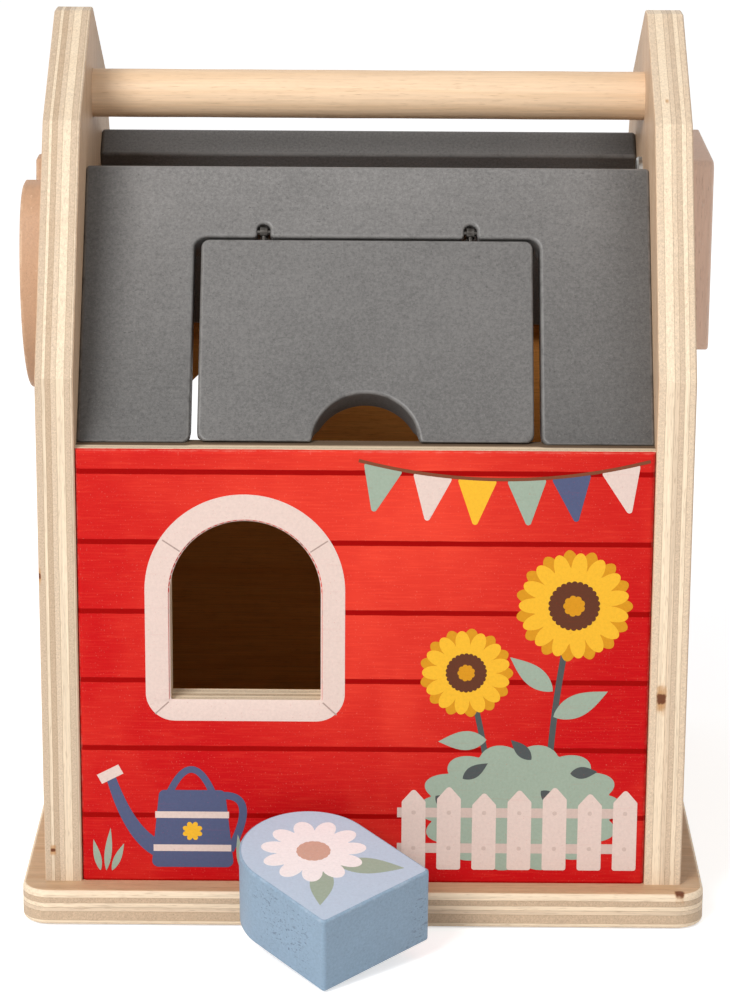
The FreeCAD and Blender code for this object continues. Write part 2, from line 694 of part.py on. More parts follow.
def make_plate(label, right):
    """Turning disc or swing door with a blind bolt hole from its inner face."""
    body = new_body(label)
    side = "" if right else "-"
    thickness = "door_thickness" if right else "disc_thickness"
    inner = num(side + "plate_inner_face")
    outer = inner + num(side + thickness)
    through = (min(inner, outer), max(inner, outer))
    outline = sketch_on(body, "YZ_Plane", side + "plate_inner_face")
    if right:
        draw_polygon(outline, [
            ("-door_half", "-door_foot"),
            ("door_half", "-door_foot"),
            ("door_half", "door_pivot_drop"),
            ("-door_half", "door_pivot_drop"),
        ])
        pad(body, outline, thickness)
        soften(body, "Fillet", "door_corner_radius", lambda edge: spans(edge, "x", *through))
        set_place(body, ("", "", "door_pivot_height"))
    else:
        draw_notched_disc(outline, "disc_radius", "disc_flat_height", "disc_notch_radius")
        pad(body, outline, thickness, reverse=True)
        bite = num("disc_notch_radius") + TOUCH
        soften(body, "Fillet", "disc_corner_radius",
               lambda edge: spans(edge, "x", *through) and abs(edge.CenterOfMass.y) > bite)
        soften(body, "Fillet", "disc_notch_rounding",
               lambda edge: spans(edge, "x", *through) and lies_at(edge, "z", num("disc_flat_height"))
               and abs(edge.CenterOfMass.y) < bite)
        set_place(body, ("", "", "disc_height"))
    soften(body, "Chamfer", "plate_edge_chamfer", lambda edge: lies_at(edge, "x", outer))
    bore = sketch_on(body, "YZ_Plane", side + "plate_inner_face")
    draw_circle(bore, "", "", "bolt_diameter")
    pocket(body, bore, "bolt_grip", reverse=right)


def make_bolt(label, right, height):
    """Slotted pan-head bolt: head on the panel's inner face, shank through panel and washer."""
    body = new_body(label)
    side = "" if right else "-"
    head = sketch_on(body, "YZ_Plane", side + "inner_half")
    draw_circle(head, "", "", "bolt_head_diameter")
    pad(body, head, "bolt_head_height", reverse=right)
    crown = num(side + "bolt_head_face")
    soften(body, "Chamfer", "bolt_head_chamfer", lambda edge: lies_at(edge, "x", crown))
    shank = sketch_on(body, "YZ_Plane", side + "inner_half")
    draw_circle(shank, "", "", "bolt_diameter")
    pad(body, shank, "bolt_length", reverse=not right)
    slot = sketch_on(body, "YZ_Plane", side + "bolt_head_face")
    draw_polygon(slot, [
        ("-bolt_slot_half", "-bolt_slot_reach"),
        ("bolt_slot_half", "-bolt_slot_reach"),
        ("bolt_slot_half", "bolt_slot_reach"),
        ("-bolt_slot_half", "bolt_slot_reach"),
    ])
    pocket(body, slot, "bolt_slot_depth", reverse=right)
    set_place(body, ("", "", height))


def make_washer(label, right, height):
    """Flat washer between a side panel's outer face and the plate that turns on it."""
    body = new_body(label)
    ring = sketch_on(body, "YZ_Plane", ("" if right else "-") + "outer_half")
    draw_circle(ring, "", "", "washer_diameter")
    draw_circle(ring, "", "", "bolt_hole")
    pad(body, ring, "washer_thickness", reverse=not right)
    set_place(body, ("", "", height))


def make_dowels(label, places):
    """Four dowels along X that join one panel's ends to both side panels."""
    dowels = []
    for start in ("dowel_left_start", "dowel_right_start"):
        for place, height in places:
            name = label + "_%d" % len(dowels)
            spot = (start, place, height)
            dowels.append(rod(name, "dowel_diameter", "dowel_length", spot, Vector(1, 0, 0)))
    gather(label, dowels)


def make_base_screws():
    """Countersunk screws from under the base plate up into the side panels and the walls."""
    screws = []
    for across, along in screw_places():
        name = "screw_%d" % len(screws)
        spot = (across, along, "screw_head_top")
        shank = rod(name + "_shank", "screw_diameter", "screw_shank_length", spot)
        head = doc.addObject("Part::Cone", name + "_head")
        head.setExpression("Radius1", ref("screw_head_diameter") + " / 2")
        head.setExpression("Radius2", ref("screw_diameter") + " / 2")
        head.setExpression("Height", ref("screw_head_height"))
        set_place(head, (across, along, "screw_recess"))
        screw = doc.addObject("Part::Fuse", name)
        screw.Base = head
        screw.Tool = shank
        screws.append(screw)
    gather("base_screws", screws)


def make_arch_block():
    """Arch block, turned in plan, that leans with its underside on the base plate's front edge."""
    body = new_body("arch_block")
    plan = sketch_on(body, "XY_Plane", "block_lay")
    plan.AttachmentOffset.Rotation = Rotation(Vector(0, 0, 1), 30)
    plan.setExpression("AttachmentOffset.Base.y", ref("block_arch_place"))
    plan.setExpression("AttachmentOffset.Rotation.Angle", ref("block_yaw") + " * 1deg")
    draw_arch(plan, "", "", "block_half", "-block_straight")
    pad(body, plan, "block_thickness")
    soften(body, "Chamfer", "block_edge_chamfer", lambda edge: True)
    body.Placement.Rotation = Rotation(Vector(1, 0, 0), 10)
    set_place(body, ("-block_offset", "-block_pivot_place", "block_pivot_height"))
    body.setExpression("Placement.Rotation.Angle", ref("block_lean") + " * 1deg")


make_base_plate()
make_side_panel("left_side_panel", False, "disc_height")
make_side_panel("right_side_panel", True, "door_pivot_height")
make_wall("front_wall", True)
make_wall("back_wall", False)
make_roof("front_roof", True)
make_roof("back_roof", False)
make_handle_bar()
make_roof_flap()
make_hinge()
make_plate("turning_disc", False)
make_plate("swing_door", True)
make_bolt("disc_bolt", False, "disc_height")
make_bolt("door_bolt", True, "door_pivot_height")
make_washer("disc_washer", False, "disc_height")
make_washer("door_washer", True, "door_pivot_height")
wall_places = [("wall_middle", "wall_dowel_low"), ("wall_middle", "wall_dowel_high")]
roof_places = [("roof_dowel_high_place", "roof_dowel_high_height"),
               ("roof_dowel_low_place", "roof_dowel_low_height")]
make_dowels("front_wall_dowels", [("-" + place, height) for place, height in wall_places])
make_dowels("back_wall_dowels", wall_places)
make_dowels("front_roof_dowels", [("-" + place, height) for place, height in roof_places])
make_dowels("back_roof_dowels", roof_places)
make_base_screws()
make_arch_block()
doc.recompute()

for item in doc.Objects:
    if "Invalid" in item.State or "Error" in item.State:
        raise RuntimeError(item.Label + " is not in a good state")
for node in nodes:
    if node.Shape.isNull() or not node.Shape.isValid() or not node.Shape.Solids:
        raise RuntimeError(node.Label + " has no valid solid")

os.makedirs("parts", exist_ok=True)
for node in nodes:
    node.Shape.exportStep("parts/" + node.Label + ".step")
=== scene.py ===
# Farm shape sorter: a plywood barn with a lift-up roof flap, two swivel pieces and one loose block.
import math
import bpy
import numpy as np
from mathutils import Matrix, Vector


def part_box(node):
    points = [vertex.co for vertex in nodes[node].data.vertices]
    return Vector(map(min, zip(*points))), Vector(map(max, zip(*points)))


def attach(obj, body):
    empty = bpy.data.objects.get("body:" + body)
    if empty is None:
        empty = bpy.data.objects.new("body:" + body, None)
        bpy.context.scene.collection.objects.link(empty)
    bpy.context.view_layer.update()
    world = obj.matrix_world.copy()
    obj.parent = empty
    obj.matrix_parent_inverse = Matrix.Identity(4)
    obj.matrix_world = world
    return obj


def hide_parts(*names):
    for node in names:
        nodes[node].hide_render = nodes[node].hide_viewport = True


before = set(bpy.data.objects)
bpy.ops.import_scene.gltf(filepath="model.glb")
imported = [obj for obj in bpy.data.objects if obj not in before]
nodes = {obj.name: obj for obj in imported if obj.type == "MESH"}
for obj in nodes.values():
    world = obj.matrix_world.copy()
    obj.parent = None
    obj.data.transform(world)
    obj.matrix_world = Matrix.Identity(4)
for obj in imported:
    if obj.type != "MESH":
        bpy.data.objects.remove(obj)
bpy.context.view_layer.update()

# Base plate: the floor of the barn, cut from 9 mm birch plywood with rounded corners and sanded edges.
# It carries both side panels and both walls, which are screwed on from below.
# Its edge shows the plies, pale along the grain and darker where a ply ends on its end grain.


class Shade:
    """Output of a shader node. A sign between two of them, or one and a number or tuple, adds a node for
    that sum to their tree, so that a finish reads as a formula."""

    def __init__(self, tree, socket):
        self.tree = tree
        self.socket = socket
        self.wide = socket.type != "VALUE"

    def __add__(self, other):
        return reckon("ADD", self, other)

    def __sub__(self, other):
        return reckon("SUBTRACT", self, other)

    def __rsub__(self, other):
        return reckon("SUBTRACT", other, self)

    def __mul__(self, other):
        return reckon("MULTIPLY", self, other)

    def __truediv__(self, other):
        return reckon("DIVIDE", self, other)

    def __abs__(self):
        return reckon("ABSOLUTE", self)


def lead(value, inlet):
    """Links a node's output to an input of another node."""
    value.tree.links.new(value.socket, inlet)


def put(tree, kind, sockets=None, **settings):
    """One shader node with its properties as settings and its inputs as values or as outputs of others;
    gives its own outputs, by number and by name."""
    made = tree.nodes.new("ShaderNode" + kind)
    for name, value in settings.items():
        setattr(made, name, value)
    for key, value in (sockets or {}).items():
        inlet = made.inputs[key]
        if isinstance(value, Shade):
            lead(value, inlet)
        else:
            inlet.default_value = (*value, 1.0) if inlet.type == "RGBA" else value
    outlets = [Shade(tree, socket) for socket in made.outputs]
    return dict(enumerate(outlets)) | {outlet.socket.name: outlet for outlet in outlets}


def reckon(operation, first, second=0.5):
    """One arithmetic node, for numbers or, if either side is one, for vectors and colours."""
    sides = (first, second)
    tree = next(side.tree for side in sides if isinstance(side, Shade))
    wide = any(isinstance(side, tuple) or isinstance(side, Shade) and side.wide for side in sides)
    return put(tree, "VectorMath" if wide else "Math", dict(enumerate(sides)), operation=operation)[0]


def length(offset):
    """How long a vector is."""
    return put(offset.tree, "VectorMath", {0: offset}, operation="LENGTH")["Value"]


def rise(value, low, high):
    """Smooth step: 0 at low, 1 at high, and an S-shaped climb between them."""
    sockets = {"Value": value, "From Min": low, "From Max": high}
    return put(value.tree, "MapRange", sockets, interpolation_type="SMOOTHSTEP")["Result"]


def noise(place, scales, detail=3.0, roughness=0.55, distortion=0.0):
    """Noise with grains 1/scale metres long on each axis; one scale serves all three."""
    scales = scales if isinstance(scales, (tuple, Shade)) else (scales, scales, scales)
    sockets = {"Vector": place * scales, "Scale": 1.0, "Detail": detail, "Roughness": roughness,
               "Distortion": distortion}
    return put(place.tree, "TexNoise", sockets)["Fac"]


def specks(place, scales, low, high, detail=1.0):
    """Spots or dashes, where such noise is high."""
    return rise(noise(place, scales, detail), low, high)


def tint(share, first, second, part=1.0):
    """Mix of two colours: share, times part, of the second one over the first."""
    return put(share.tree, "Mix", {0: share * part, 6: first, 7: second}, data_type="RGBA")[2]


def axes_of(place):
    """The three numbers of a place, named X, Y and Z."""
    return put(place.tree, "SeparateXYZ", {0: place})


def effect(name, inputs, outputs):
    """Empty shader group; gives its tree, its inputs as outputs of a node, and its outputs to lead to."""
    tree = bpy.data.node_groups.new(name, "ShaderNodeTree")
    for way, sockets in (("INPUT", inputs), ("OUTPUT", outputs)):
        for key, kind in sockets.items():
            tree.interface.new_socket(key, in_out=way, socket_type="NodeSocket" + kind)
    inlet, outlet = (tree.nodes.new("NodeGroup" + way) for way in ("Input", "Output"))
    return tree, {socket.name: Shade(tree, socket) for socket in inlet.outputs}, outlet.inputs


def use(group, **sockets):
    """A shader group put to use; gives its outputs."""
    return put(sockets["Place"].tree, "Group", sockets, node_tree=group)


def finish(name):
    """New material; gives it with its Object coordinates."""
    material = bpy.data.materials.new(name)
    material.use_nodes = True
    return material, put(material.node_tree, "TexCoord")["Object"]


bump_strength = 0.6


def shader_of(material):
    """The inputs of a material's shader."""
    return material.node_tree.nodes["Principled BSDF"].inputs


def coated(material, colour, roughness, height, depth, specular=0.5, metallic=0.0):
    """The material with its colour, its roughness and a bump of the given depth in metres."""
    shader = shader_of(material)
    shader["Specular IOR Level"].default_value = specular
    shader["Metallic"].default_value = metallic
    bump = put(colour.tree, "Bump", {"Height": height, "Distance": depth, "Strength": bump_strength})
    for key, value in (("Base Color", colour), ("Roughness", roughness), ("Normal", bump["Normal"])):
        lead(value, shader[key])
    return material


def ply_layer_effect():
    """Where a point lies in the sheet: Layer runs from 0 at one face to 1 at the other, and drifts a
    little inside the sheet because plies aren't even; Skin is 1 on the two sanded faces alone."""
    tree, given, result = effect("ply_layer", {"Place": "Vector", "Sheet": "Float"},
                                 {"Layer": "Float", "Skin": "Float"})
    share = axes_of(given["Place"])["X"] / given["Sheet"]
    rest = 1.0 - share
    drift = (noise(given["Place"], (90, 26, 26)) - 0.5) * (share * rest)
    lead(drift * 0.2 + share, result["Layer"])
    lead(rise(reckon("MINIMUM", share, rest), 0.022, 0.008), result["Skin"])
    return tree


def ply_grain_effect():
    """Wood of one ply: noise drawn out along the ply's own grain, so a cut along the grain shows
    streaks and a cut across it shows dots. Along is 1 where the grain runs with the face grain."""
    tree, given, result = effect(
        "ply_grain", {"Place": "Vector", "Tone": "Color", "Face": "Color", "Along": "Float",
                      "Skin": "Float"}, {"Color": "Color", "Height": "Float"})
    warm_cast, burnt_cast = (0.84, 0.7, 0.56), (0.5, 0.4, 0.32)
    place, skin = given["Place"], given["Skin"]
    along = reckon("MAXIMUM", given["Along"], skin)
    streaks = noise(place, (2100, 45, 2100), 5, 0.62)
    ends = noise(place, (2300, 2300, 60), 4, 0.6)
    fibre = ends + (streaks - ends) * along
    dashes = noise(place, (6500, 300, 6500), 1)
    dots = noise(place, (5200, 5200, 320), 1)
    pores = rise(dots + (dashes - dots) * along, 0.58, 0.74)
    figure = rise(noise(place, (60, 8, 190), 3, 0.6, 0.8), 0.42, 0.72)
    tone = tint(skin, given["Tone"], given["Face"])
    wood = tone * (fibre * 0.78 + 0.62)
    wood = tint(figure * (skin * 0.34 + 0.1), wood, tone * warm_cast)
    wood = tint(pores, wood, tone * burnt_cast, 0.44)
    lead(wood, result["Color"])
    lead(fibre - pores * 0.6, result["Height"])
    return tree


def knot_effect():
    """A knot is a small lump of dark wood: Mask is 1 inside an uneven, squarish ball about Centre with
    half sizes Spread, where the root of the summed fourth powers of the offsets is under one. Halo is
    the same ball drawn out upwards and faded, the warm wood that bends round the knot."""
    tree, given, result = effect("knot_mark", {"Place": "Vector", "Centre": "Vector", "Spread": "Vector"},
                                 {"Mask": "Float", "Halo": "Float"})
    drawn_out = (0.9, 0.9, 0.34)
    away = (given["Place"] - given["Centre"]) / given["Spread"]
    rough = noise(given["Place"], 700) * 1.2
    for outlet, ball, inner, outer in (("Mask", away, 1.05, 1.75), ("Halo", away * drawn_out, 0.7, 1.85)):
        lead(1.0 - rise(length(ball * ball) + rough, inner, outer), result[outlet])
    return tree


ply_layer, ply_grain, knot_mark = ply_layer_effect(), ply_grain_effect(), knot_effect()
sheet, glue_half = 0.009, 0.01
pale_ply, dusk_ply = (0.87, 0.705, 0.515), (0.735, 0.577, 0.417)
grey_ply, brown_ply = (0.65, 0.5, 0.357), (0.59, 0.438, 0.3)
glue_line, knot_brown, knot_halo = (0.42, 0.295, 0.188), (0.12, 0.026, 0.006), (0.52, 0.25, 0.08)


def plywood(place, plies, face):
    """Plywood's colour and height; plies lists each ply's share of the sheet, its tone and 1 or 0 for
    the run of its grain, from one face to the other, with a thin glue line between two plies."""
    tree = place.tree
    spot = use(ply_layer, Place=place, Sheet=sheet)
    ramp = tree.nodes.new("ShaderNodeValToRGB")
    lead(spot["Layer"], ramp.inputs["Fac"])
    stops, reached = [(0.0, *plies[0][1:])], 0.0
    for (share, tone, along), (_, next_tone, next_along) in zip(plies, plies[1:]):
        reached += share
        stops += [(reached - glue_half, tone, along), (reached, glue_line, along),
                  (reached + glue_half, next_tone, next_along)]
    elements = ramp.color_ramp.elements
    for count, (share, tone, along) in enumerate(stops):
        element = elements[count] if count < 2 else elements.new(share)
        element.position = share
        element.color = (*tone, along)
    tone, along = (Shade(tree, ramp.outputs[key]) for key in ("Color", "Alpha"))
    return use(ply_grain, Place=place, Tone=tone, Along=along, Face=face, Skin=spot["Skin"])


def bare_plywood(name, order, offsets, plies, face, knots):
    """Clear-varnished plywood; order names the axes across the sheet, along and across its face grain."""
    material, place = finish(name)
    axes = axes_of(place)
    turned = {count: axes[axis] + shift for count, (axis, shift) in enumerate(zip(order, offsets))}
    wood = plywood(put(place.tree, "CombineXYZ", turned)[0], plies, face)
    colour = wood["Color"]
    for centre, spread in knots:
        knot = use(knot_mark, Place=place, Centre=centre, Spread=spread)
        colour = tint(knot["Halo"], colour, knot_halo, 0.85)
        colour = tint(knot["Mask"], colour, knot_brown, 0.93)
    return coated(material, colour, wood["Height"] * 0.16 + 0.44, wood["Height"], 0.00012, 0.25)


def dress(material, *names):
    """Gives a finish to pieces that keep their plain solid."""
    for name in names:
        nodes[name].data.materials[0] = material


base_plies = [(0.15, pale_ply, 1), (0.25, brown_ply, 0), (0.12, dusk_ply, 1), (0.13, pale_ply, 1),
              (0.15, brown_ply, 0), (0.2, pale_ply, 1)]
base_knots = [((0.0768, -0.0792, 0.0086), (0.0012, 0.0012, 0.001))]
base_face = (0.575, 0.38, 0.228)
base_finish = bare_plywood("base_plywood", "ZXY", (0.0, 0.31, 0.17), base_plies, base_face, base_knots)
dress(base_finish, "base_plate")

# Side panels: the two gambrel gables, 9 mm birch plywood with the face grain upright.
# They are doweled to the walls and the roof panels and hold the handle between them.
# A few pin knots show on their cut edges.


def toned(plies, level):
    """The same plies with every tone scaled by level."""
    return [(share, tuple(level * part for part in tone), along) for share, tone, along in plies]


left_plies = [(0.18, grey_ply, 0), (0.09, pale_ply, 1), (0.14, brown_ply, 0), (0.14, dusk_ply, 0),
              (0.22, pale_ply, 1), (0.15, grey_ply, 0), (0.08, dusk_ply, 1)]
right_plies = [(0.2, dusk_ply, 0), (0.23, pale_ply, 1), (0.13, dusk_ply, 1), (0.13, grey_ply, 0),
               (0.13, pale_ply, 1), (0.18, dusk_ply, 0)]
left_knots = [((-0.0775, -0.074, 0.0868), (0.0006, 0.002, 0.0008)),
              ((-0.0754, -0.074, 0.017), (0.0007, 0.002, 0.0005))]
right_knots = [((0.0714, -0.074, 0.0569), (0.0012, 0.0028, 0.0014)),
               ((0.0718, -0.033, 0.1956), (0.0005, 0.001, 0.0007))]
panel_face = (0.63, 0.44, 0.29)
for side, offsets, plies, knots in (("left", (0.0775, 0.53, 0.29), toned(left_plies, 0.94), left_knots),
                                    ("right", (-0.0685, 0.91, 0.43), toned(right_plies, 1.03), right_knots)):
    panel_finish = bare_plywood(side + "_panel_plywood", "XZY", offsets, plies, panel_face, knots)
    dress(panel_finish, side + "_side_panel")

# Front and back walls: 9 mm plywood between the gables, the outer face painted red by silk screen
# with thin dark lines that make level boards. The cut edges and the inner face stay bare wood.
wall_face, wall_half, wall_top = 0.0734, 0.0685, 0.118
board_pitch = 0.0173
first_line = 0.02605
line_half = 0.00062
wear_wide = 0.0012
red = (0.545, 0.0055, 0.008)
# Paler red, for worn paint and for the painted pool of light and sheen on the wall.
red_worn_and_lit = (0.81, 0.059, 0.032)
red_line = (0.33, 0.001, 0.0008)
red_rubbed = (0.8, 0.25, 0.19)
# Centre and reach of the painted pool of light about the middle of the wall.
lit_spot, lit_spot_reach = (0.004, 0.0, 0.086), (0.046, 1.0, 0.05)
# Tone of the bare inner face, and the colour of the painted shadow on the wall top under the eaves.
inner_face, eaves_shade = (0.73, 0.315, 0.08), (0.1, 0.06, 0.036)
eaves = -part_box("front_roof")[0][1]
wall_plies = [(0.14, pale_ply, 1), (0.15, dusk_ply, 0), (0.14, pale_ply, 1), (0.15, brown_ply, 0),
              (0.14, pale_ply, 1), (0.14, dusk_ply, 0), (0.14, pale_ply, 1)]


def edge_effect():
    """Edge wear on a boxy piece: the middle one of the three distances to the box's faces is small
    only along an edge, and the mask is 1 there and 0 from Width inwards, broken up by noise."""
    tree, given, result = effect("edge_wear", {"Place": "Vector", "Low": "Vector", "High": "Vector",
                                               "Width": "Float"}, {"Mask": "Float"})
    place = given["Place"]
    near = axes_of(reckon("MINIMUM", place - given["Low"], given["High"] - place))
    lesser, greater = (reckon(pick, near["X"], near["Y"]) for pick in ("MINIMUM", "MAXIMUM"))
    middle = reckon("MAXIMUM", lesser, reckon("MINIMUM", greater, near["Z"]))
    ragged = noise(place, 420, 4, 0.65) * given["Width"]
    lead(1.0 - rise(middle / ragged, 0.3, 1.0), result["Mask"])
    return tree


edge_wear = edge_effect()


def board_paint_and_shading():
    """Red boards on plywood: paint lies where the depth below the outer face is under about one
    millimetre, and the dark lines repeat with the board pitch. Painted light makes the red paler in a pool
    about the middle and as a sheen towards the top, over its real wear. The bare top carries a painted
    shadow along the eaves, wider beside the flap."""
    material, place = finish("red_board_paint_and_shading")
    axes = axes_of(place)
    outward = abs(axes["Y"])
    depth = wall_face - outward
    laid = put(place.tree, "CombineXYZ", {0: depth, 1: axes["X"], 2: axes["Z"]})[0]
    wood = plywood(laid, wall_plies, inner_face)
    covered = rise(noise(place, 700) * 0.0002 + depth, 0.0011, 0.0008)
    brushed = noise(place, (110, 900, 2300), 4)
    cloud = noise(place, (45, 45, 30))
    away = length((place - lit_spot) / lit_spot_reach)
    wear_and_sheen = rise(brushed, 0.45, 0.72) * 0.24 + rise(cloud, 0.46, 0.72) * 0.26
    # Painted light over that wear: a paler pool about the middle of the wall and a sheen towards its top.
    wear_and_sheen = wear_and_sheen + rise(away, 1.4, 0.3) * 0.5 + rise(axes["Z"], 0.06, wall_top) * 0.2
    paint = tint(wear_and_sheen, red, red_worn_and_lit)
    paint = tint(specks(place, 2600, 0.67, 0.74), paint, red_rubbed, 0.24)
    from_line = reckon("PINGPONG", (axes["Z"] - first_line) / board_pitch, 0.5) * board_pitch
    shaky = noise(place, (160, 160, 900), 2) * 0.00022 + from_line
    line = rise(shaky, line_half + 0.0002, line_half + 0.00006)
    paint = tint(line, paint, red_line)
    bared = use(edge_wear, Place=place, Low=(-wall_half, -wall_face, 0.0),
                High=(wall_half, wall_face, wall_top), Width=wear_wide)["Mask"]
    paint = tint(bared, paint, red_rubbed, 0.45)
    # Painted shadow on the bare wall top, just in front of the roof's foot and reaching further beside the
    # flap.
    outside = outward - eaves - rise(abs(axes["X"]), 0.0405, 0.043) * 0.0009
    eaves_shaded = rise(outside, 0.0018, 0.0002) * rise(axes["Z"], wall_top - 0.0008, wall_top - 0.0003)
    bare = tint(eaves_shaded, wood["Color"], eaves_shade, 0.92)
    skin = noise(place, 1300, 2) * 0.5 + brushed * 0.5 - line * 0.25
    height = wood["Height"] + (skin - wood["Height"]) * covered
    return coated(material, tint(covered, bare, paint), wear_and_sheen * 0.3 + 0.42, height, 0.0001, 0.05)


dress(board_paint_and_shading(), "front_wall", "back_wall")

# Window surround: a pale border printed round the arch opening on the front wall.
# It is a skin of ink on the red paint, with four thin lines where a real frame would be mitred.


def arc_path(arcs, detail=1.0):
    """Closed outline made of arcs joined by straight lines. Each arc is centre, radius and two angles
    in degrees; a negative radius is a hollow. A point is the centre plus the radius along the angle,
    and its outward normal is that direction, turned round in a hollow."""
    spots, normals = [], []
    for across, up, radius, start, end in arcs:
        count = max(3, int(abs(math.radians(end - start)) * (3.0 + 1.6 * math.sqrt(abs(radius))) * detail))
        angle = np.radians(np.linspace(start, end, count))
        way = np.stack([np.cos(angle), np.sin(angle)], axis=1)
        spots.append(np.array([across, up]) + abs(radius) * way)
        normals.append(way * np.sign(radius))
    return np.concatenate(spots), np.concatenate(normals)


def ring_faces(levels, count):
    """Quads between neighbouring closed rings of points, numbered ring by ring."""
    rings = np.arange(levels * count).reshape(levels, count)
    low, high = rings[:-1], rings[1:]
    return np.stack([low, np.roll(low, -1, 1), np.roll(high, -1, 1), high], -1).reshape(-1, 4)


def closed_rings(levels, count, start=0):
    """Faces of a closed skin: quads between neighbouring rings, and a cap on the first and last one."""
    ring = np.arange(count) + start
    caps = [ring[::-1].tolist(), (ring + (levels - 1) * count).tolist()]
    return (ring_faces(levels, count) + start).tolist() + caps


def new_piece(name, spots, faces, material, body):
    """Mesh object from points in metres; flat caps stay flat and rounded edges are shaded smooth."""
    mesh = bpy.data.meshes.new(name)
    mesh.from_pydata(spots.tolist(), [], faces)
    mesh.update()
    mesh.shade_smooth()
    mesh.set_sharp_from_angle(angle=math.radians(40))
    mesh.materials.append(material)
    piece = bpy.data.objects.new(name, mesh)
    bpy.context.scene.collection.objects.link(piece)
    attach(piece, body)
    return piece


surface = {"Color": "Color", "Roughness": "Float", "Height": "Float"}


def ink_effect():
    """Screen ink: the colour is mottled, thins out in specks so the ground shows, and is a little rough."""
    tree, given, result = effect("screen_ink", {"Place": "Vector", "Ink": "Color", "Ground": "Color"},
                                 surface)
    place, ground = given["Place"], given["Ground"]
    thin = specks(place, 2300, 0.63, 0.76, 2.0)
    brushed = noise(place, (70, 900, 1700))
    ink = given["Ink"] * (noise(place, 1400, 3, 0.7) * 0.24 + 0.88)
    ink = tint(thin, ink, ground, 0.3)
    ink = tint(rise(brushed, 0.58, 0.8), ink, ground, 0.1)
    lead(ink, result["Color"])
    lead(thin * 0.2 + 0.45, result["Roughness"])
    lead(brushed * 0.5 - thin, result["Height"])
    return tree


screen_ink = ink_effect()


def faced(name, group, depth, specular=0.5, metallic=0.0, **sockets):
    """Material whose whole surface comes from one shader group."""
    material, place = finish(name)
    look = use(group, Place=place, **sockets)
    return coated(material, look["Color"], look["Roughness"], look["Height"], depth, specular, metallic)


def ink_finish(name, ink, ground):
    """Material of one printed colour on a painted ground."""
    return faced(name, screen_ink, 0.00005, 0.12, Ink=ink, Ground=ground)


def on_wall(flat, lift):
    """Points (across, up) in millimetres laid on the front wall's face, lift millimetres proud of it."""
    proud = np.full(len(flat), -wall_face * 1000 - lift)
    return np.stack([flat[:, 0], proud, flat[:, 1]], axis=1) / 1000


def printed(name, shapes, lift, material, lay=on_wall, body="house"):
    """Printed shapes as closed skins of ink: each outline is set proud of the ground and just inside
    it, joined by a rim and closed by two caps."""
    spots, faces, start = [], [], 0
    for flat in shapes:
        count = len(flat)
        spots += [lay(flat, -0.01), lay(flat, lift)]
        faces += closed_rings(2, count, start)
        start += 2 * count
    new_piece(name, np.concatenate(spots), faces, material, body)


def ribbon(path, widths):
    """Outline of a band: the path moved to both sides along its normal by half the band's width."""
    run = np.gradient(path, axis=0)
    run /= np.linalg.norm(run, axis=1)[:, None]
    side = np.stack([-run[:, 1], run[:, 0]], axis=1) * (np.asarray(widths) / 2).reshape(-1, 1)
    return np.concatenate([path - side, (path + side)[::-1]])


def corner(across, up, radius, start):
    """Arc that rounds an outer corner, a quarter turn from start degrees on."""
    right, top = (1 if start in (0, 270) else -1), (1 if start in (0, 90) else -1)
    return across - right * radius, up - top * radius, radius, start, start + 90


def arch_arcs(middle, spring, half, low, radius):
    """Arcs of an arch: a half circle on a straight body with two rounded corners at its foot."""
    return [(middle, spring, half, 0, 180), corner(middle - half, low, radius, 180),
            corner(middle + half, low, radius, 270)]


def matched(path, count):
    """The closed path sampled again at even steps of its length from its first point."""
    closed = np.concatenate([path, path[:1]])
    walked = np.concatenate([[0.0], np.cumsum(np.linalg.norm(np.diff(closed, axis=0), axis=1))])
    steps = np.linspace(0.0, walked[-1], count, endpoint=False)
    return np.stack([np.interp(steps, walked, closed[:, axis]) for axis in (0, 1)], axis=1)


window_middle, window_spring, window_sill = -28.4, 82.5, 55.5
inner_half, inner_low, inner_corner = 18.45, 55.05, 0.3
outer_middle, outer_spring, outer_half, outer_low, outer_corner = -28.5, 83.2, 23.9, 50.4, 7.0
surround_lift, lip_share, lip_lift, rings = 0.04, 0.0245, -0.38, 240
mitre_in, mitre_out, mitre_wide = 18.7, 23.7, 0.34
ink_cream, ink_mitre = (0.74, 0.578, 0.512), (0.42, 0.3, 0.26)
inner_arch, _ = arc_path(arch_arcs(window_middle, window_spring, inner_half, inner_low, inner_corner), 2.0)
outer_arch, _ = arc_path(arch_arcs(outer_middle, outer_spring, outer_half, outer_low, outer_corner), 2.0)
inner_ring, outer_ring = matched(inner_arch, rings), matched(outer_arch, rings)
spring = np.array([window_middle, window_spring])
lip_ring = inner_ring + (spring - inner_ring) * lip_share
surround_rings = [on_wall(outer_ring, -0.01), on_wall(outer_ring, surround_lift),
                  on_wall(inner_ring, surround_lift), on_wall(lip_ring, lip_lift)]
surround_faces = ring_faces(5, rings) % (4 * rings)
surround_finish = ink_finish("window_surround_ink", ink_cream, red)
new_piece("window_surround_print", np.concatenate(surround_rings), surround_faces.tolist(), surround_finish,
          "house")
mitre_lines = []
for turn in np.radians((34.0, 146.0)):
    way = np.array([math.cos(turn), math.sin(turn)])
    mitre_lines.append(ribbon(np.stack([spring + mitre_in * way, spring + mitre_out * way]), mitre_wide))
for side in (-1, 1):
    start = np.array([window_middle + side * 18.5, window_sill - 0.3])
    mitre_lines.append(ribbon(np.stack([start, start + np.array([side * 3.3, -3.1])]), mitre_wide))
mitre_finish = ink_finish("window_mitre_ink", ink_mitre, red)
printed("window_mitre_print", mitre_lines, surround_lift + 0.02, mitre_finish)

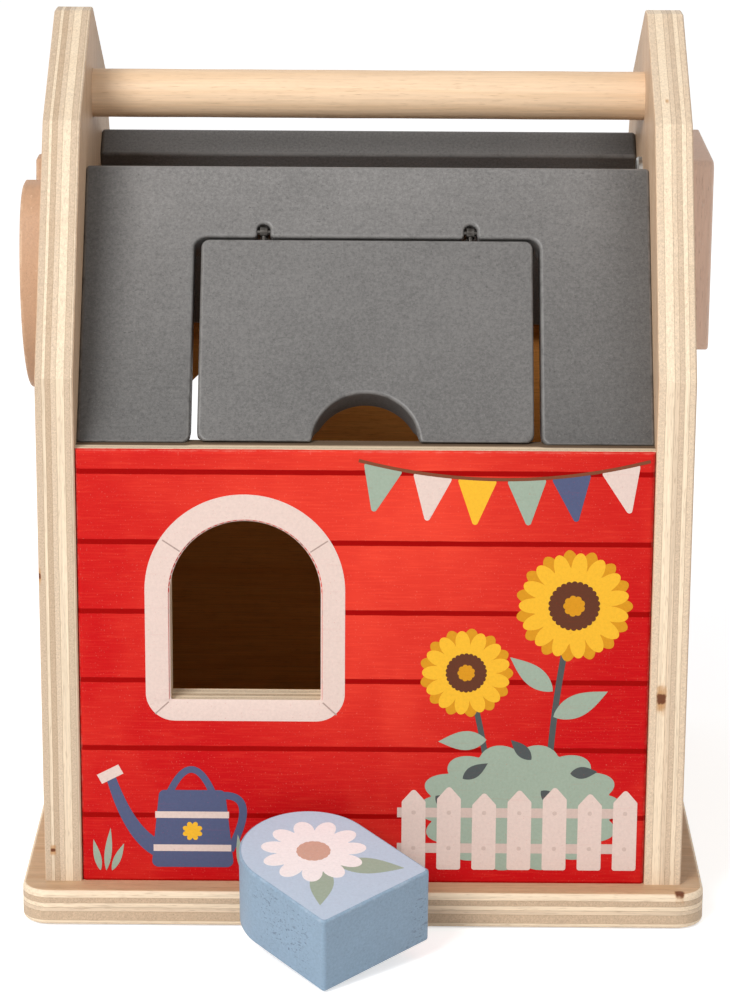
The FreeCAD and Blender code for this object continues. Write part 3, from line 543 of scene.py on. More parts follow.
# Garden print: a sunflower bed behind a picket fence, a watering can and a string of flags, screened
# on the red boards in flat colours, one screen for each colour, from the back of the picture forward.
sage = (0.33, 0.4, 0.315)
garden_inks = {"sage": sage, "dark_leaf": (0.075, 0.085, 0.085), "yellow": (0.86, 0.46, 0.03),
               "gold": (0.66, 0.285, 0.012), "seed_brown": (0.115, 0.035, 0.016),
               "slate_blue": (0.085, 0.1, 0.19), "cord_brown": (0.2, 0.06, 0.028), "cream": ink_cream,
               "rail_cream": (0.62, 0.47, 0.41)}
screens = {ink: ink_finish(ink + "_ink", colour, red) for ink, colour in garden_inks.items()}


def lobed(middle, radius, lobes, dip, power=0.7, turn=0.0, squash=1.0, count=260):
    """Flower outline: the radius swells and dips with the absolute sine of the angle, once a lobe."""
    angle = np.linspace(0.0, 2 * np.pi, count, endpoint=False)
    reach = radius * (1 - dip + dip * np.abs(np.sin(lobes * (angle + turn) / 2)) ** power)
    return np.array(middle) + np.stack([reach * np.cos(angle), squash * reach * np.sin(angle)], axis=1)


def leaf(base, tip, width, count=24):
    """Leaf outline: a lens from base to tip, its half width a sine that is fullest near the base."""
    base, tip = np.array(base, float), np.array(tip, float)
    run = np.linspace(0.0, 1.0, count)
    path = base + run[:, None] * (tip - base)
    return ribbon(path, width * np.sin(np.pi * run ** 0.8) + 0.05)


def bend(start, middle, end, count=40):
    """Smooth curve from start to end, drawn towards middle (a parabola through three pulls)."""
    run = np.linspace(0.0, 1.0, count)[:, None]
    start, middle, end = (np.array(spot, float) for spot in (start, middle, end))
    return (1 - run) ** 2 * start + 2 * run * (1 - run) * middle + run ** 2 * end


sun_heads = [((50.0, 80.0), 13.2, 15), ((24.5, 63.0), 10.6, 13)]
stems = [ribbon(bend((44.5, 30.0), (45.0, 55.0), sun_heads[0][0]), 1.5),
         ribbon(bend((31.0, 26.0), (30.0, 45.0), sun_heads[1][0]), 1.4)]
stem_leaves = [leaf((45.6, 52.0), (58.5, 58.5), 5.6), leaf((45.3, 58.5), (35.0, 67.0), 5.0),
               leaf((29.6, 46.0), (18.0, 45.5), 4.8)]
hedge = [lobed((38.0, 28.5), 25.0, 14, 0.13, 0.8, 0.2, 0.66)]
hedge_leaves = [leaf((24.0, 36.0), (30.0, 40.0), 3.0), leaf((40.5, 41.0), (35.5, 46.0), 3.0),
                leaf((50.0, 37.5), (56.5, 38.0), 3.0), leaf((17.5, 31.5), (21.5, 28.0), 2.8),
                leaf((43.0, 33.0), (47.5, 29.0), 3.0)]
back_petals = [lobed(spot, size * 1.06, lobes, 0.3, 0.8, math.pi / lobes)
               for spot, size, lobes in sun_heads]
front_petals = [lobed(spot, size, lobes, 0.34, 0.65) for spot, size, lobes in sun_heads]
seed_heads = [lobed(spot, size * 0.47, 26, 0.07) for spot, size, _ in sun_heads]
seed_rings = [lobed(spot, size * 0.2, 9, 0.16) for spot, size, _ in sun_heads]

picket_half, picket_foot, picket_top, picket_round = 2.9, 12.4, 33.0, 0.6
fence_start, picket_step, picket_count, rail_levels = 12.2, 8.55, 7, (18.0, 27.2)


def picket(middle, top):
    """Fence board: a rounded board with a pointed head."""
    out, shoulder = picket_half - picket_round, top - 3.2
    flat, _ = arc_path([corner(middle + picket_half, picket_foot, picket_round, 270),
                        (middle + out, shoulder, picket_round, 0, 44), (middle, top - 0.8, 0.8, 44, 136),
                        (middle - out, shoulder, picket_round, 136, 180),
                        corner(middle - picket_half, picket_foot, picket_round, 180)])
    return flat


rails = [ribbon(np.array([[8.2, level], [66.0, level]]), 2.5) for level in rail_levels]
fence_spots = [fence_start + picket_step * count for count in range(picket_count)]
pickets = [picket(spot, picket_top + 0.9 * math.sin(2.1 * count)) for count, spot in enumerate(fence_spots)]
nail_heads = [lobed((spot, level), 0.55, 4, 0.05, count=20)
              for spot in fence_spots for level in rail_levels]

can_body, _ = arc_path([(-33.2, 14.2, 1.6, 270, 360), (-34.8, 31.2, 1.4, 4, 90),
                        (-48.2, 31.2, 1.4, 90, 176), (-49.8, 14.2, 1.6, 180, 270)])
can_spout = ribbon(bend((-49.0, 17.0), (-56.5, 20.0), (-61.2, 36.0)), np.linspace(4.6, 2.3, 40))
can_rose = ribbon(np.array([[-63.9, 35.2], [-58.7, 37.9]]), 2.6)
can_grip = ribbon(bend((-36.0, 31.0), (-24.5, 33.0), (-32.4, 17.0)), 1.9)
can_bow = ribbon(bend((-47.0, 31.8), (-41.5, 44.0), (-36.5, 31.8)), 1.7)
can_bands = [ribbon(np.array([[left, level], [right, level]]), 1.7)
             for left, right, level in ((-51.0, -32.1, 17.6), (-50.5, -32.6, 26.2))]
can_daisy = lobed((-41.5, 22.0), 2.5, 8, 0.35)
grass_foot, grass_wide = 11.6, 1.7
blades = [(-64.0, -1.6, 8.0), (-62.6, 1.2, 11.0), (-61.2, 3.0, 7.0), (-29.5, -1.0, 9.5), (-28.0, 1.8, 12.0),
          (-26.6, 3.6, 7.5), (-8.4, -2.0, 8.0), (-7.0, 1.0, 10.5)]
grass = [leaf((spot, grass_foot), (spot + lean, grass_foot + tall), grass_wide)
         for spot, lean, tall in blades]
flag_cord = bend((-1.5, 115.6), (33.0, 106.6), (67.2, 115.8), 60)


def flag(share):
    """Pennant that hangs from the cord: a triangle with rounded corners, its head along the cord."""
    spot = flag_cord[int(share * (len(flag_cord) - 1))]
    ahead = flag_cord[int(share * (len(flag_cord) - 1)) + 1] - spot
    lean = math.atan2(ahead[1], ahead[0])
    flat, _ = arc_path([(3.8, -0.7, 0.7, -24, 90), (-3.8, -0.7, 0.7, 90, 204), (0.0, -10.6, 0.7, 204, 336)])
    turn = np.array([[math.cos(lean), math.sin(lean)], [-math.sin(lean), math.cos(lean)]])
    return spot + flat @ turn


garden_prints = [
    ("sunflower_stems", stems, 0.03, "dark_leaf"),
    ("hedge_and_leaves", hedge + stem_leaves, 0.045, "sage"),
    ("hedge_dark_leaves", hedge_leaves, 0.06, "dark_leaf"),
    ("sunflower_back_petals", back_petals, 0.05, "gold"),
    ("sunflower_petals", front_petals, 0.065, "yellow"),
    ("sunflower_seeds", seed_heads, 0.08, "seed_brown"),
    ("sunflower_hearts", seed_rings, 0.09, "gold"),
    ("fence_rails", rails, 0.06, "rail_cream"),
    ("fence_pickets", pickets, 0.075, "cream"),
    ("fence_nails", nail_heads, 0.085, "rail_cream"),
    ("watering_can_pipes", [can_spout, can_grip, can_bow], 0.04, "slate_blue"),
    ("watering_can", [can_body], 0.055, "slate_blue"),
    ("watering_can_bands", can_bands + [can_rose], 0.065, "cream"),
    ("watering_can_flower", [can_daisy], 0.07, "yellow"),
    ("grass", grass, 0.05, "sage"),
    ("flag_cord", [ribbon(flag_cord, 0.8)], 0.06, "cord_brown")]
for name, shapes, lift, ink in garden_prints:
    printed(name + "_print", shapes, lift, screens[ink])
flag_shares = np.linspace(0.1, 0.9, 6)
flag_inks = ("sage", "cream", "yellow", "sage", "slate_blue", "cream")
for count, (share, ink) in enumerate(zip(flag_shares, flag_inks)):
    printed("flag_print_%d" % (count + 1), [flag(share)], 0.045, screens[ink])

# Roof panels: two 9 mm plywood boards stained matt dark grey on every side, doweled between the
# gables with an open ridge. The front one is cut out for the flap and slotted for its hinge wires.
pitch = math.radians(54.0)
grey, grey_pale, grey_dark = (0.13, 0.124, 0.119), (0.225, 0.216, 0.208), (0.045, 0.042, 0.039)
roof_foot, roof_ridge, roof_out = 0.05555, 0.12805, 0.12429


def rounded_plate(outline, normals, tall, edge, support=0.3, foot=-np.inf, slant=0.0):
    """Board with rounded edges: the edge profile, a quarter circle at each side, is carried along the
    outline, which moves inwards along its normal by the profile's inset at each level. A narrow flat
    ring inside each face keeps the shading flat. What lies below the foot is raised to it, and the foot
    climbs by slant for each step below the top. Gives points, faces and an edge mask per point."""
    steps, middle = 5, 8
    turn = np.linspace(-np.pi / 2, 0.0, steps + 1)
    inset, height = edge * (1 - np.cos(turn)), edge * (1 + np.sin(turn))
    flank = np.linspace(edge + support, tall - edge - support, middle)
    insets = np.concatenate([[edge + support], inset, np.zeros(middle), inset[::-1], [edge + support]])
    heights = np.concatenate([[0.0], height, flank, tall - height[::-1], [tall]])
    rings = outline[None] - insets[:, None, None] * normals[None]
    lowest = foot + insets + slant * (tall - heights)
    rings[:, :, 1] = np.maximum(rings[:, :, 1], lowest[:, None])
    levels, count = rings.shape[:2]
    lifted = np.broadcast_to(heights[:, None, None], (levels, count, 1))
    spots = np.concatenate([rings, lifted], axis=2).reshape(-1, 3)
    rounded = np.zeros(levels)
    rounded[2:steps + 2] = 1.0
    rounded[levels - steps - 2:levels - 2] = 1.0
    return spots, closed_rings(levels, count), np.repeat(rounded, count)


def rounded_board(name, arcs, tall, edge, lay, material, body, slot, node, detail=1.6, **shape):
    """Board with the arcs as its outline, laid in place of a plain solid; its points keep the edge mask
    for the finish to read."""
    flat, faces, edges = rounded_plate(*arc_path(arcs, detail), tall, edge, **shape)
    board = new_piece(name, lay(flat), faces, material, body)
    board.data.attributes.new("edge", "FLOAT", "POINT").data.foreach_set("value", edges)
    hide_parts(node)


def edge_rub_effect():
    """Patchy wear along rounded edges: the edge mask on a piece's points, times noise stepped from Low
    to High."""
    tree, given, result = effect(
        "edge_rub", {"Place": "Vector", "Scale": "Float", "Detail": "Float", "Roughness": "Float",
                     "Low": "Float", "High": "Float"}, {"Mask": "Float"})
    edge = put(tree, "Attribute", attribute_name="edge")["Fac"]
    patches = noise(given["Place"], given["Scale"], given["Detail"], given["Roughness"])
    lead(edge * rise(patches, given["Low"], given["High"]), result["Mask"])
    return tree


edge_rub = edge_rub_effect()


def rubbed(place, scale, low, high, detail=4.0, roughness=0.55):
    """That wear, with a finish's own values."""
    wear = use(edge_rub, Place=place, Scale=scale, Detail=detail, Roughness=roughness, Low=low, High=high)
    return wear["Mask"]


def up_slope(climb, first, last):
    """Straight change from first at the foot of the roof to last at its ridge."""
    sockets = {"Value": climb, "From Min": roof_foot, "From Max": roof_ridge, "To Min": first,
               "To Max": last}
    return put(climb.tree, "MapRange", sockets)["Result"]


def grey_stain_and_shading_effect():
    """Matt grey stain on plywood, in the board's own frame, in which Turn lays the slope level. Painted
    shade darkens it towards the foot and beside the gables, painted light makes it paler towards the
    ridge, and the rounded edges are rubbed pale."""
    tree, given, result = effect(
        "grey_stain_and_shading", {"Place": "Vector", "Turn": "Vector", "Foot": "Float", "Ridge": "Float"}, surface)
    local = put(tree, "Mapping", {"Vector": given["Place"], "Rotation": given["Turn"]})[0]
    axes = axes_of(local)
    climb = abs(axes["Y"])
    cloud = noise(local, 38, 4, 0.6)
    grain = noise(local, (65, 1500, 1500), 4)
    grit = noise(local, 1500, 3, 0.8)
    # Painted shade and light: the tone runs from the Foot level at the eaves up to the Ridge level.
    level = (cloud * 0.4 + grain * 0.1 + grit * 1.5) * up_slope(climb, given["Foot"], given["Ridge"])
    # Painted shade beside the gables, deepest up towards the ridge.
    gable_shade = rise(abs(axes["X"]), 0.052, 0.067) * up_slope(climb, 0.12, 0.42)
    pits = specks(local, (1500, 3200, 3200), 0.68, 0.76)
    shaded_stain = tint(pits, level * (1.0 - gable_shade) * grey, grey_dark, 0.55)
    shaded_stain = tint(specks(local, 1900, 0.71, 0.78), shaded_stain, grey_pale, 0.5)
    # The pale rubbed edges are wear and, in part, a painted highlight along the rounded edges.
    lead(tint(rubbed(local, 260, 0.3, 0.6), shaded_stain, grey_pale, 0.6), result["Color"])
    lead(grit * 0.2 + 0.3, result["Roughness"])
    lead(grit * 0.6 + grain * 0.6 - pits * 0.7, result["Height"])
    return tree


grey_stain_and_shading = grey_stain_and_shading_effect()


def grey_finish(name, turn, foot, ridge):
    """Material of grey stain on one board, with the levels of its painted shade at the foot and its
    painted light at the ridge of the roof.
    """
    return faced(name, grey_stain_and_shading, 0.0001, 0.4, Turn=(turn, 0.0, 0.0), Foot=foot, Ridge=ridge)


def on_front_slope(flat):
    """Board frame to the barn's: millimetres across, up the slope from the eaves and off the inner face,
    leant by the pitch."""
    climb, out = flat[:, 1] / 1000 + roof_foot, flat[:, 2] / 1000 - sheet + roof_out
    return np.stack([flat[:, 0] / 1000, climb * math.cos(pitch) - out * math.sin(pitch),
                     climb * math.sin(pitch) + out * math.cos(pitch)], axis=1)


def on_back_slope(flat):
    """The same slope, turned round to the back."""
    return on_front_slope(flat) * np.array([-1, -1, 1])


roof_half, roof_long, roof_round, roof_support, roof_corner = 68.5, 72.5, 0.8, 0.15, 1.0
cutout_half, cutout_top, cutout_corner, eaves_corner = 41.75, 53.6, 3.0, 2.5
slot_middle, slot_up, slot_round, slot_lip = 25.0, 55.6, 1.6, 1.0
ridge_arcs = [corner(roof_half, roof_long, roof_corner, 0), corner(-roof_half, roof_long, roof_corner, 90),
              corner(-roof_half, 0.0, roof_corner, 180)]
eaves_arc = corner(roof_half, 0.0, roof_corner, 270)
cutout_arcs = [corner(-cutout_half, 0.0, eaves_corner, 270),
               (cutout_corner - cutout_half, cutout_top - cutout_corner, -cutout_corner, 180, 90)]
for middle in (-slot_middle, slot_middle):
    cutout_arcs += [corner(middle - slot_round, cutout_top, slot_lip, 270),
                    (middle, slot_up, -slot_round, 180, 0),
                    corner(middle + slot_round, cutout_top, slot_lip, 180)]
cutout_arcs += [(cutout_half - cutout_corner, cutout_top - cutout_corner, -cutout_corner, 90, 0),
                corner(cutout_half, 0.0, eaves_corner, 180)]
level_foot = {"support": roof_support, "slant": 1 / math.tan(pitch)}
# Both roof boards carry painted shade at the foot and painted light towards the ridge.
front_roof_finish = grey_finish("front_roof_stain_and_shading", -pitch, 0.75, 1.42)
back_roof_finish = grey_finish("back_roof_stain_and_shading", pitch, 0.75, 1.42)
rounded_board("slotted_front_roof", ridge_arcs + cutout_arcs + [eaves_arc], sheet * 1000, roof_round,
              on_front_slope, front_roof_finish, "house", "roof_grey", "front_roof", foot=0.0, **level_foot)
rounded_board("plain_back_roof", ridge_arcs + [eaves_arc], sheet * 1000, roof_round, on_back_slope,
              back_roof_finish, "house", "roof_grey", "back_roof", foot=0.0, **level_foot)

# Handle: a 12 mm birch dowel that the barn is carried by, turned and sanded.
# Its ends are glued into blind holes in both gables.
handle_low, handle_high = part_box("handle_bar")


def turned_wood_effect():
    """Turned rod: growth rings are bands of distance from a pith beside the rod, fibres run along it."""
    tree, given, result = effect(
        "turned_wood", {"Place": "Vector", "Pith": "Vector", "Fibre": "Vector", "Pale": "Color",
                        "Warm": "Color", "Dark": "Color"}, surface)
    place, along_rod = given["Place"], (0.06, 1.0, 1.0)
    sway = noise(place, (16, 160, 160), 2) * 0.004 + length((place - given["Pith"]) * along_rod)
    rings = reckon("PINGPONG", sway * 620.0, 1.0)
    fibre = noise(place, given["Fibre"], 4)
    pores = specks(place, (300, 6000, 6000), 0.62, 0.75)
    wood = tint(rise(rings, 0.35, 1.0), given["Pale"], given["Warm"], 0.38) * (fibre * 0.36 + 0.82)
    lead(tint(pores, wood, given["Dark"], 0.3), result["Color"])
    lead(fibre * 0.18 + 0.4, result["Roughness"])
    lead(fibre - pores * 0.6, result["Height"])
    return tree


turned_wood = turned_wood_effect()


def turned_rod(along, radius, middle_y, middle_z, count=56):
    """Rod along X: rings of a radius that follows a profile, closed by a cap at each end."""
    angle = np.linspace(0.0, 2 * np.pi, count, endpoint=False)
    spots = np.empty((len(along), count, 3))
    spots[:, :, 0] = along[:, None]
    spots[:, :, 1] = middle_y + radius[:, None] * np.cos(angle)
    spots[:, :, 2] = middle_z + radius[:, None] * np.sin(angle)
    return spots.reshape(-1, 3), closed_rings(len(along), count)


handle_rings, handle_waver, handle_chamfer = 60, 0.00003, 0.0005
handle_along = np.linspace(handle_low[0], handle_high[0], handle_rings)
handle_radius = np.full(handle_rings, (handle_high[2] - handle_low[2]) / 2)
handle_radius -= handle_waver * (1 + np.sin(handle_along * 190.0) * np.cos(handle_along * 67.0))
handle_radius[[0, -1]] -= handle_chamfer
handle_finish = faced("handle_birch", turned_wood, 0.00012, Pith=(0.0, 0.0035, 0.171),
                      Fibre=(55, 1900, 1900), Pale=(0.845, 0.605, 0.395), Warm=(0.78, 0.52, 0.3),
                      Dark=(0.42, 0.25, 0.12))
handle_spots, handle_faces = turned_rod(handle_along, handle_radius, (handle_low[1] + handle_high[1]) / 2,
                                        (handle_low[2] + handle_high[2]) / 2)
handle = new_piece("turned_handle", handle_spots, handle_faces, handle_finish, "house")
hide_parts("handle_bar")

# Flap and hinges: a lid of the same grey plywood that drops into the roof's cut-out, with a half-round
# finger notch. Two wire eyes in its top edge turn on steel pins in the roof.
flap_half, flap_head, flap_corner, flap_foot, flap_foot_corner = 40.0, 53.0, 2.0, 0.4, 3.0
finger_notch, finger_lip = 12.8, 1.5


def notch_arcs(level, radius, lip, way):
    """Half-round finger notch with rounded lips: way 1 cuts it up into a foot, -1 down into a top."""
    out, rest = math.sqrt((radius + lip) ** 2 - lip ** 2), math.degrees(math.asin(lip / (radius + lip)))
    turn = 0 if way > 0 else 180
    return [(-way * out, level + way * lip, lip, turn + 270, turn + 360 - rest),
            (0.0, level, -radius, turn + 180 - rest, turn + rest),
            (way * out, level + way * lip, lip, turn + 180 + rest, turn + 270)]


flap_arcs = [corner(flap_half, flap_foot, flap_foot_corner, 270),
             corner(flap_half, flap_head, flap_corner, 0), corner(-flap_half, flap_head, flap_corner, 90),
             corner(-flap_half, flap_foot, flap_foot_corner, 180),
             *notch_arcs(flap_foot, finger_notch, finger_lip, 1)]
# The flap carries the same painted shade and light, on a gentler slope.
flap_finish = grey_finish("flap_stain_and_shading", -pitch, 0.98, 1.22)
rounded_board("notched_flap", flap_arcs, sheet * 1000, roof_round, on_front_slope, flap_finish, "flap",
              "roof_grey", "roof_flap", foot=flap_foot, **level_foot)


def plated_steel_effect():
    """Zinc-plated steel: a bright metal with a dull bloom and fine scratches."""
    tree, given, result = effect("plated_steel", {"Place": "Vector", "Bright": "Color", "Dull": "Color"},
                                 surface)
    bloom = noise(given["Place"], 700)
    scratch = noise(given["Place"], (400, 9000, 9000), 2)
    lead(tint(rise(bloom, 0.4, 0.7), given["Bright"], given["Dull"]), result["Color"])
    lead(bloom * 0.3 + scratch * 0.12 + 0.16, result["Roughness"])
    lead(scratch, result["Height"])
    return tree


plated_steel = plated_steel_effect()
wire_finish = faced("hinge_wire_steel", plated_steel, 0.00002, metallic=1.0, Bright=(0.09, 0.083, 0.076),
                    Dull=(0.045, 0.04, 0.036))
dress(wire_finish, "hinge_eyes", "hinge_pins")

# Screws, bolts and washers: zinc-plated steel. The screws go up through the base plate, and a bolt with
# a washer holds the disc and the door against the gables from inside.
steel_finish = faced("zinc_steel", plated_steel, 0.00002, metallic=1.0, Bright=(0.42, 0.41, 0.39),
                     Dull=(0.27, 0.26, 0.24))
dress(steel_finish, "base_screws", "disc_bolt", "disc_washer", "door_bolt", "door_washer")

# Dowels: short birch pins that join the walls and the roof panels to the gables.
# They are glued into blind holes and don't show once the barn is put together.
dowel_finish = faced("dowel_birch", turned_wood, 0.00012, Pith=(0.0, 0.05, 0.02), Fibre=(60, 2100, 2100),
                     Pale=(0.8, 0.6, 0.4), Warm=(0.7, 0.46, 0.27), Dark=(0.38, 0.22, 0.11))
dress(dowel_finish, "front_wall_dowels", "back_wall_dowels", "front_roof_dowels", "back_roof_dowels")

# Turning disc: a 6 mm tan-stained board on the left gable, round with a level top and a finger notch.
# It turns on one bolt over a washer, and its edges are sanded round.


def board_stain_effect():
    """Thin stain on a close-grained board: streaks along the grain, dark pores and paler rubbed edges."""
    tree, given, result = effect(
        "board_stain", {"Place": "Vector", "Fibre": "Vector", "Stain": "Color", "Worn": "Color",
                        "Dark": "Color"}, surface)
    place, scales, worn = given["Place"], given["Fibre"], given["Worn"]
    fibre = noise(place, scales, 4)
    cloud = noise(place, scales * (0.02, 0.02, 0.02) + (12, 12, 12))
    pores = specks(place, scales * (3.2, 3.2, 3.2) + (160, 160, 160), 0.64, 0.75)
    wood = tint(pores, given["Stain"] * (fibre * 0.34 + cloud * 0.26 + 0.71), given["Dark"], 0.42)
    wood = tint(specks(place, 1300, 0.7, 0.77), wood, worn, 0.45)
    lead(tint(rubbed(place, 330, 0.4, 0.66), wood, worn, 0.45), result["Color"])
    lead(fibre * 0.2 + 0.44, result["Roughness"])
    lead(fibre - pores * 0.7, result["Height"])
    return tree


board_stain = board_stain_effect()
swivel_out, swivel_thick, swivel_round = 78.5, 6.0, 0.5
disc_radius, disc_level, shoulder_round, notch_radius, lip_round = 34.0, 21.2, 13.0, 13.5, 1.0
disc_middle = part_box("turning_disc")[0][2] * 1000 + disc_radius
shoulder_up = disc_level - shoulder_round
shoulder_out = math.sqrt((disc_radius - shoulder_round) ** 2 - shoulder_up ** 2)
shoulder_turn = math.degrees(math.atan2(shoulder_up, shoulder_out))


def on_gable(side, middle):
    """How a board is laid on a gable: millimetres across, up from the middle and off the inner face, seen
    from outside; side is -1 for the left gable and 1 for the right one."""
    return lambda flat: np.stack([side * (swivel_out + flat[:, 2]), side * flat[:, 0], middle + flat[:, 1]],
                                 axis=1) / 1000


disc_arcs = [(0.0, 0.0, disc_radius, -180 - shoulder_turn, shoulder_turn),
             (shoulder_out, shoulder_up, shoulder_round, shoulder_turn, 90),
             *notch_arcs(disc_level, notch_radius, lip_round, -1),
             (-shoulder_out, shoulder_up, shoulder_round, 90, 180 - shoulder_turn)]
disc_finish = faced("tan_stain", board_stain, 0.00012, 0.35, Fibre=(1700, 55, 1700),
                    Stain=(0.535, 0.328, 0.204), Worn=(0.76, 0.54, 0.37), Dark=(0.32, 0.16, 0.08))
rounded_board("notched_disc", disc_arcs, swivel_thick, swivel_round, on_gable(-1, disc_middle), disc_finish,
              "disc", "tan_paint", "turning_disc")

# Swing door: a nearly square 6 mm board on the right gable, stained dusty pink, hung on one bolt near
# its top edge so that it swings aside from the opening behind it.
door_low, door_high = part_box("swing_door")
door_half, door_corner = 23.5, 2.5
door_base, door_top = door_low[2] * 1000, door_high[2] * 1000
door_arcs = [corner(door_half, door_base, door_corner, 270), corner(door_half, door_top, door_corner, 0),
             corner(-door_half, door_top, door_corner, 90), corner(-door_half, door_base, door_corner, 180)]
door_finish = faced("pink_stain", board_stain, 0.00012, 0.35, Fibre=(1700, 1700, 60),
                    Stain=(0.86, 0.625, 0.5), Worn=(0.88, 0.72, 0.62), Dark=(0.42, 0.26, 0.19))
rounded_board("square_door", door_arcs, swivel_thick, swivel_round, on_gable(1, 0.0), door_finish, "door",
              "pink_paint", "swing_door")

# Arch block: a loose solid wood block that fits the window, painted pale blue all round, its top face
# printed with a daisy. It leans on the base plate's front edge, turned and tilted.
block_half, block_straight, block_tall = 16.5, 25.5, 20.0
block_round, block_corner, block_sanded, block_inset = 0.6, 1.0, 0.15, 0.7
block_yaw, block_lay, block_arch = math.radians(40.9), 1.5, -11.5
block_pivot = np.array([-13.0, -79.3, 7.8])
block_detail = 2.0
blue, block_pale = (0.268, 0.372, 0.48), (0.475, 0.57, 0.685)
pit_blue, rubbed_blue = (0.095, 0.125, 0.175), (0.56, 0.64, 0.72)
daisy_white, daisy_tan = (0.86, 0.8, 0.79), (0.6, 0.36, 0.28)
block_reach = block_half * math.sin(block_yaw) + block_straight * math.cos(block_yaw) - block_arch
block_lean = (math.asin(block_pivot[2] / math.hypot(block_reach, block_lay))
              + math.atan(block_lay / block_reach))


def on_block(spots):
    """Block frame to the barn's: turned by the yaw, shifted along the lie, then leant about the pivot."""
    yaw = Matrix.Rotation(block_yaw, 3, "Z")
    lean = Matrix.Rotation(block_lean, 3, "X")
    laid = spots @ np.array(yaw).T + np.array([0.0, block_arch, block_lay])
    return (laid @ np.array(lean).T + block_pivot) / 1000


def blue_paint():
    """Thick matt paint on end-grained wood: even colour, small dark pits in rows and pale rubbed edges."""
    material, place = finish("blue_block_paint")
    peel = noise(place, 1500, 3, 0.7)
    level = noise(place, 60, 4) * 0.22 + peel * 0.5 + 0.64
    patch = specks(place, (75, 75, 90), 0.47, 0.62, 2.0)
    dents = rise(noise(place, (420, 420, 1500), 2, 0.6), 0.6, 0.7)
    pits = reckon("MAXIMUM", specks(place, (1500, 1500, 2300), 0.655, 0.72), dents * 0.55)
    pits = pits * (patch * 0.8 + 0.2)
    paint = tint(pits, level * blue, pit_blue, 0.8)
    paint = tint(rubbed(place, 420, 0.46, 0.66, 5.0, 0.7), paint, rubbed_blue, 0.24)
    return coated(material, paint, peel * 0.22 + 0.42, peel * 0.5 - pits, 0.00022, 0.25)


def block_arcs(inset):
    """Outline of the block, moved inwards."""
    return arch_arcs(0.0, 0.0, block_half - inset, inset - block_straight, block_corner)


def on_block_top(flat, lift):
    """Points of a print laid on the block's top face, lift millimetres proud of it."""
    return on_block(np.column_stack([flat, np.full(len(flat), block_tall + lift)]))


rounded_board("painted_arch_block", block_arcs(block_sanded), block_tall, block_round, on_block,
              blue_paint(), "block", "blue_paint", "arch_block", block_detail)
block_top, _ = arc_path(block_arcs(block_inset), block_detail)
block_leaves = [leaf((1.0, -9.0), (12.2, -20.8), 6.4), leaf((-2.0, -8.0), (-12.6, -19.6), 5.6)]
daisy_spot = (0.4, -1.6)
daisy = lobed(daisy_spot, 12.6, 11, 0.36, 0.6, 0.3)
daisy_heart = lobed(daisy_spot, 4.1, 16, 0.05)
block_prints = [
    ("block_top", [block_top], 0.015, "block_pale", block_pale, blue),
    ("block_leaves", block_leaves, 0.03, "block_leaf", sage, block_pale),
    ("block_daisy", [daisy], 0.045, "daisy_white", daisy_white, block_pale),
    ("block_daisy_heart", [daisy_heart], 0.06, "daisy_heart", daisy_tan, block_pale)]
for name, shapes, lift, ink, colour, ground in block_prints:
    ink = ink_finish(ink + "_ink", colour, ground)
    printed(name + "_print", shapes, lift, ink, on_block_top, "block")

# Studio: a plain pale floor in bright even air, a soft key lamp in front at the left, a weak lamp at the
# right, and the camera at the photograph's place. The floor keeps the shadows.


def seen_ray(tree):
    """1 for what the camera sees, straight, mirrored or through glass, and 0 for what lights the barn."""
    ray = put(tree, "LightPath")
    return reckon("MAXIMUM", ray["Is Camera Ray"],
                  reckon("MAXIMUM", ray["Is Glossy Ray"], ray["Is Transmission Ray"]))


def studio_floor():
    """White paper: a pale floor that also glows towards the camera, so that only shadows darken it."""
    material, place = finish("studio_paper")
    shader = shader_of(material)
    lead(tint(noise(place, 900, 2), (0.8, 0.8, 0.8), (0.84, 0.84, 0.84)), shader["Base Color"])
    shader["Roughness"].default_value = 0.9
    shader["Specular IOR Level"].default_value = 0.0
    shader["Emission Color"].default_value = (1.0, 1.0, 1.0, 1.0)
    lead(seen_ray(place.tree) * 0.6, shader["Emission Strength"])
    return material


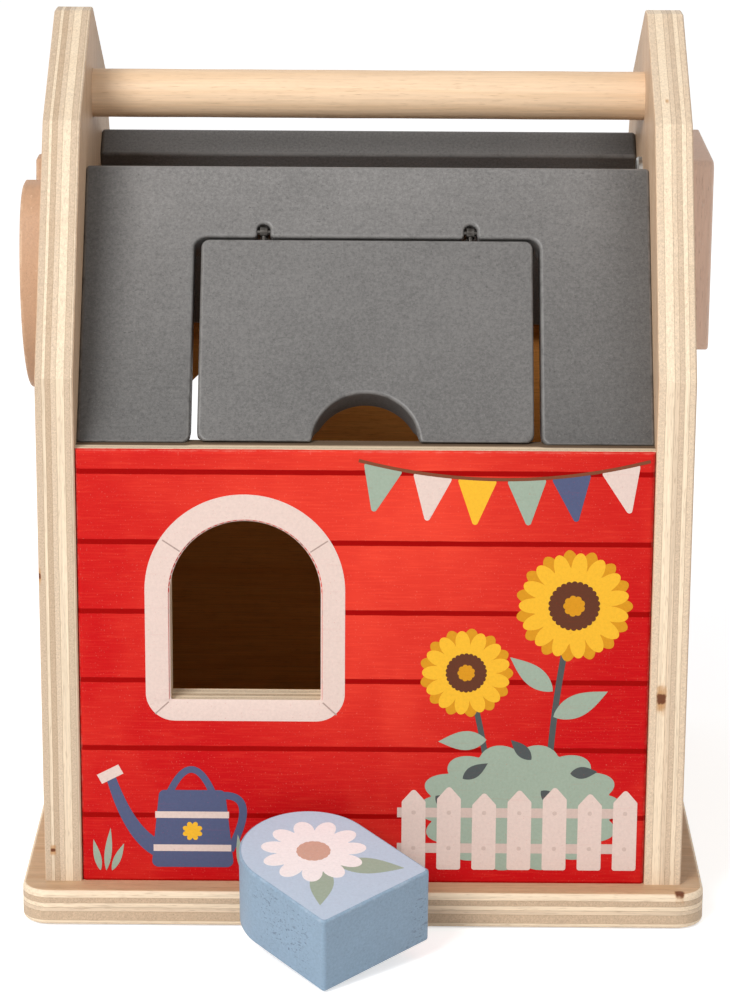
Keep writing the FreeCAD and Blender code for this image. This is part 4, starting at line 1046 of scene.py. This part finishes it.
floor_reach, floor_lines, floor_level = 6.0, 13, -0.0003
grid = np.linspace(-floor_reach, floor_reach, floor_lines)
across, along = np.meshgrid(grid, grid)
floor_spots = np.stack([across, along, np.full_like(across, floor_level)], axis=-1)
corners = np.arange(across.size).reshape(across.shape)
floor_faces = np.stack([corners[:-1, :-1], corners[:-1, 1:], corners[1:, 1:], corners[1:, :-1]], -1)
floor_mesh = bpy.data.meshes.new("studio_floor")
floor_mesh.from_pydata(floor_spots.reshape(-1, 3).tolist(), [], floor_faces.reshape(-1, 4).tolist())
floor_mesh.materials.append(studio_floor())
floor = bpy.data.objects.new("studio_floor", floor_mesh)
bpy.context.scene.collection.objects.link(floor)

world = bpy.data.worlds.new("studio_air")
bpy.context.scene.world = world
world.use_nodes = True
air_seen, air_light = 0.51, 0.49
background = world.node_tree.nodes["Background"].inputs
background["Color"].default_value = (1.0, 1.0, 1.0, 1.0)
lead(seen_ray(world.node_tree) * air_seen + air_light, background["Strength"])


def soft_lamp(name, spot, aim, size, power):
    """Square soft box at spot, turned to aim."""
    lamp = bpy.data.lights.new(name, "AREA")
    lamp.size = size
    lamp.energy = power
    body = bpy.data.objects.new(name, lamp)
    body.location = spot
    body.rotation_euler = (Vector(aim) - Vector(spot)).to_track_quat("-Z", "Y").to_euler()
    bpy.context.scene.collection.objects.link(body)


lamp_aim = (0.0, 0.0, 0.1)
soft_lamp("key_light", (-0.49, -0.83, 0.76), lamp_aim, 0.5, 9.6)
soft_lamp("right_light", (0.9, -0.5, 0.55), lamp_aim, 0.6, 0.8)

azimuth, elevation, roll = (math.radians(angle) for angle in (0.24, 16.99, 0.31))
camera_distance, camera_aim = 0.92643, Vector((-0.00022, 0.0, 0.06767))
frame_tall, focal_px, middle_px = 1000.0, 3577.44, 564.14
back = Vector((math.sin(azimuth) * math.cos(elevation), -math.cos(azimuth) * math.cos(elevation),
               math.sin(elevation)))
right = Vector((math.cos(azimuth), math.sin(azimuth), 0.0))
up = back.cross(right)
across = right * math.cos(roll) + up * math.sin(roll)
upward = up * math.cos(roll) - right * math.sin(roll)
camera = bpy.data.cameras.new("photo_camera")
camera.sensor_fit = "VERTICAL"
camera.sensor_height = 24.0
camera.lens = focal_px / frame_tall * camera.sensor_height
camera.shift_y = (middle_px - frame_tall / 2) / frame_tall
camera.clip_start = 0.05
camera.clip_end = 30.0
viewer = bpy.data.objects.new("photo_camera", camera)
viewer.matrix_world = Matrix.Translation(camera_aim + back * camera_distance) @ Matrix(
    (across, upward, back)).transposed().to_4x4()
bpy.context.scene.collection.objects.link(viewer)
bpy.context.scene.camera = viewer
bpy.context.scene.view_settings.view_transform = "Standard"
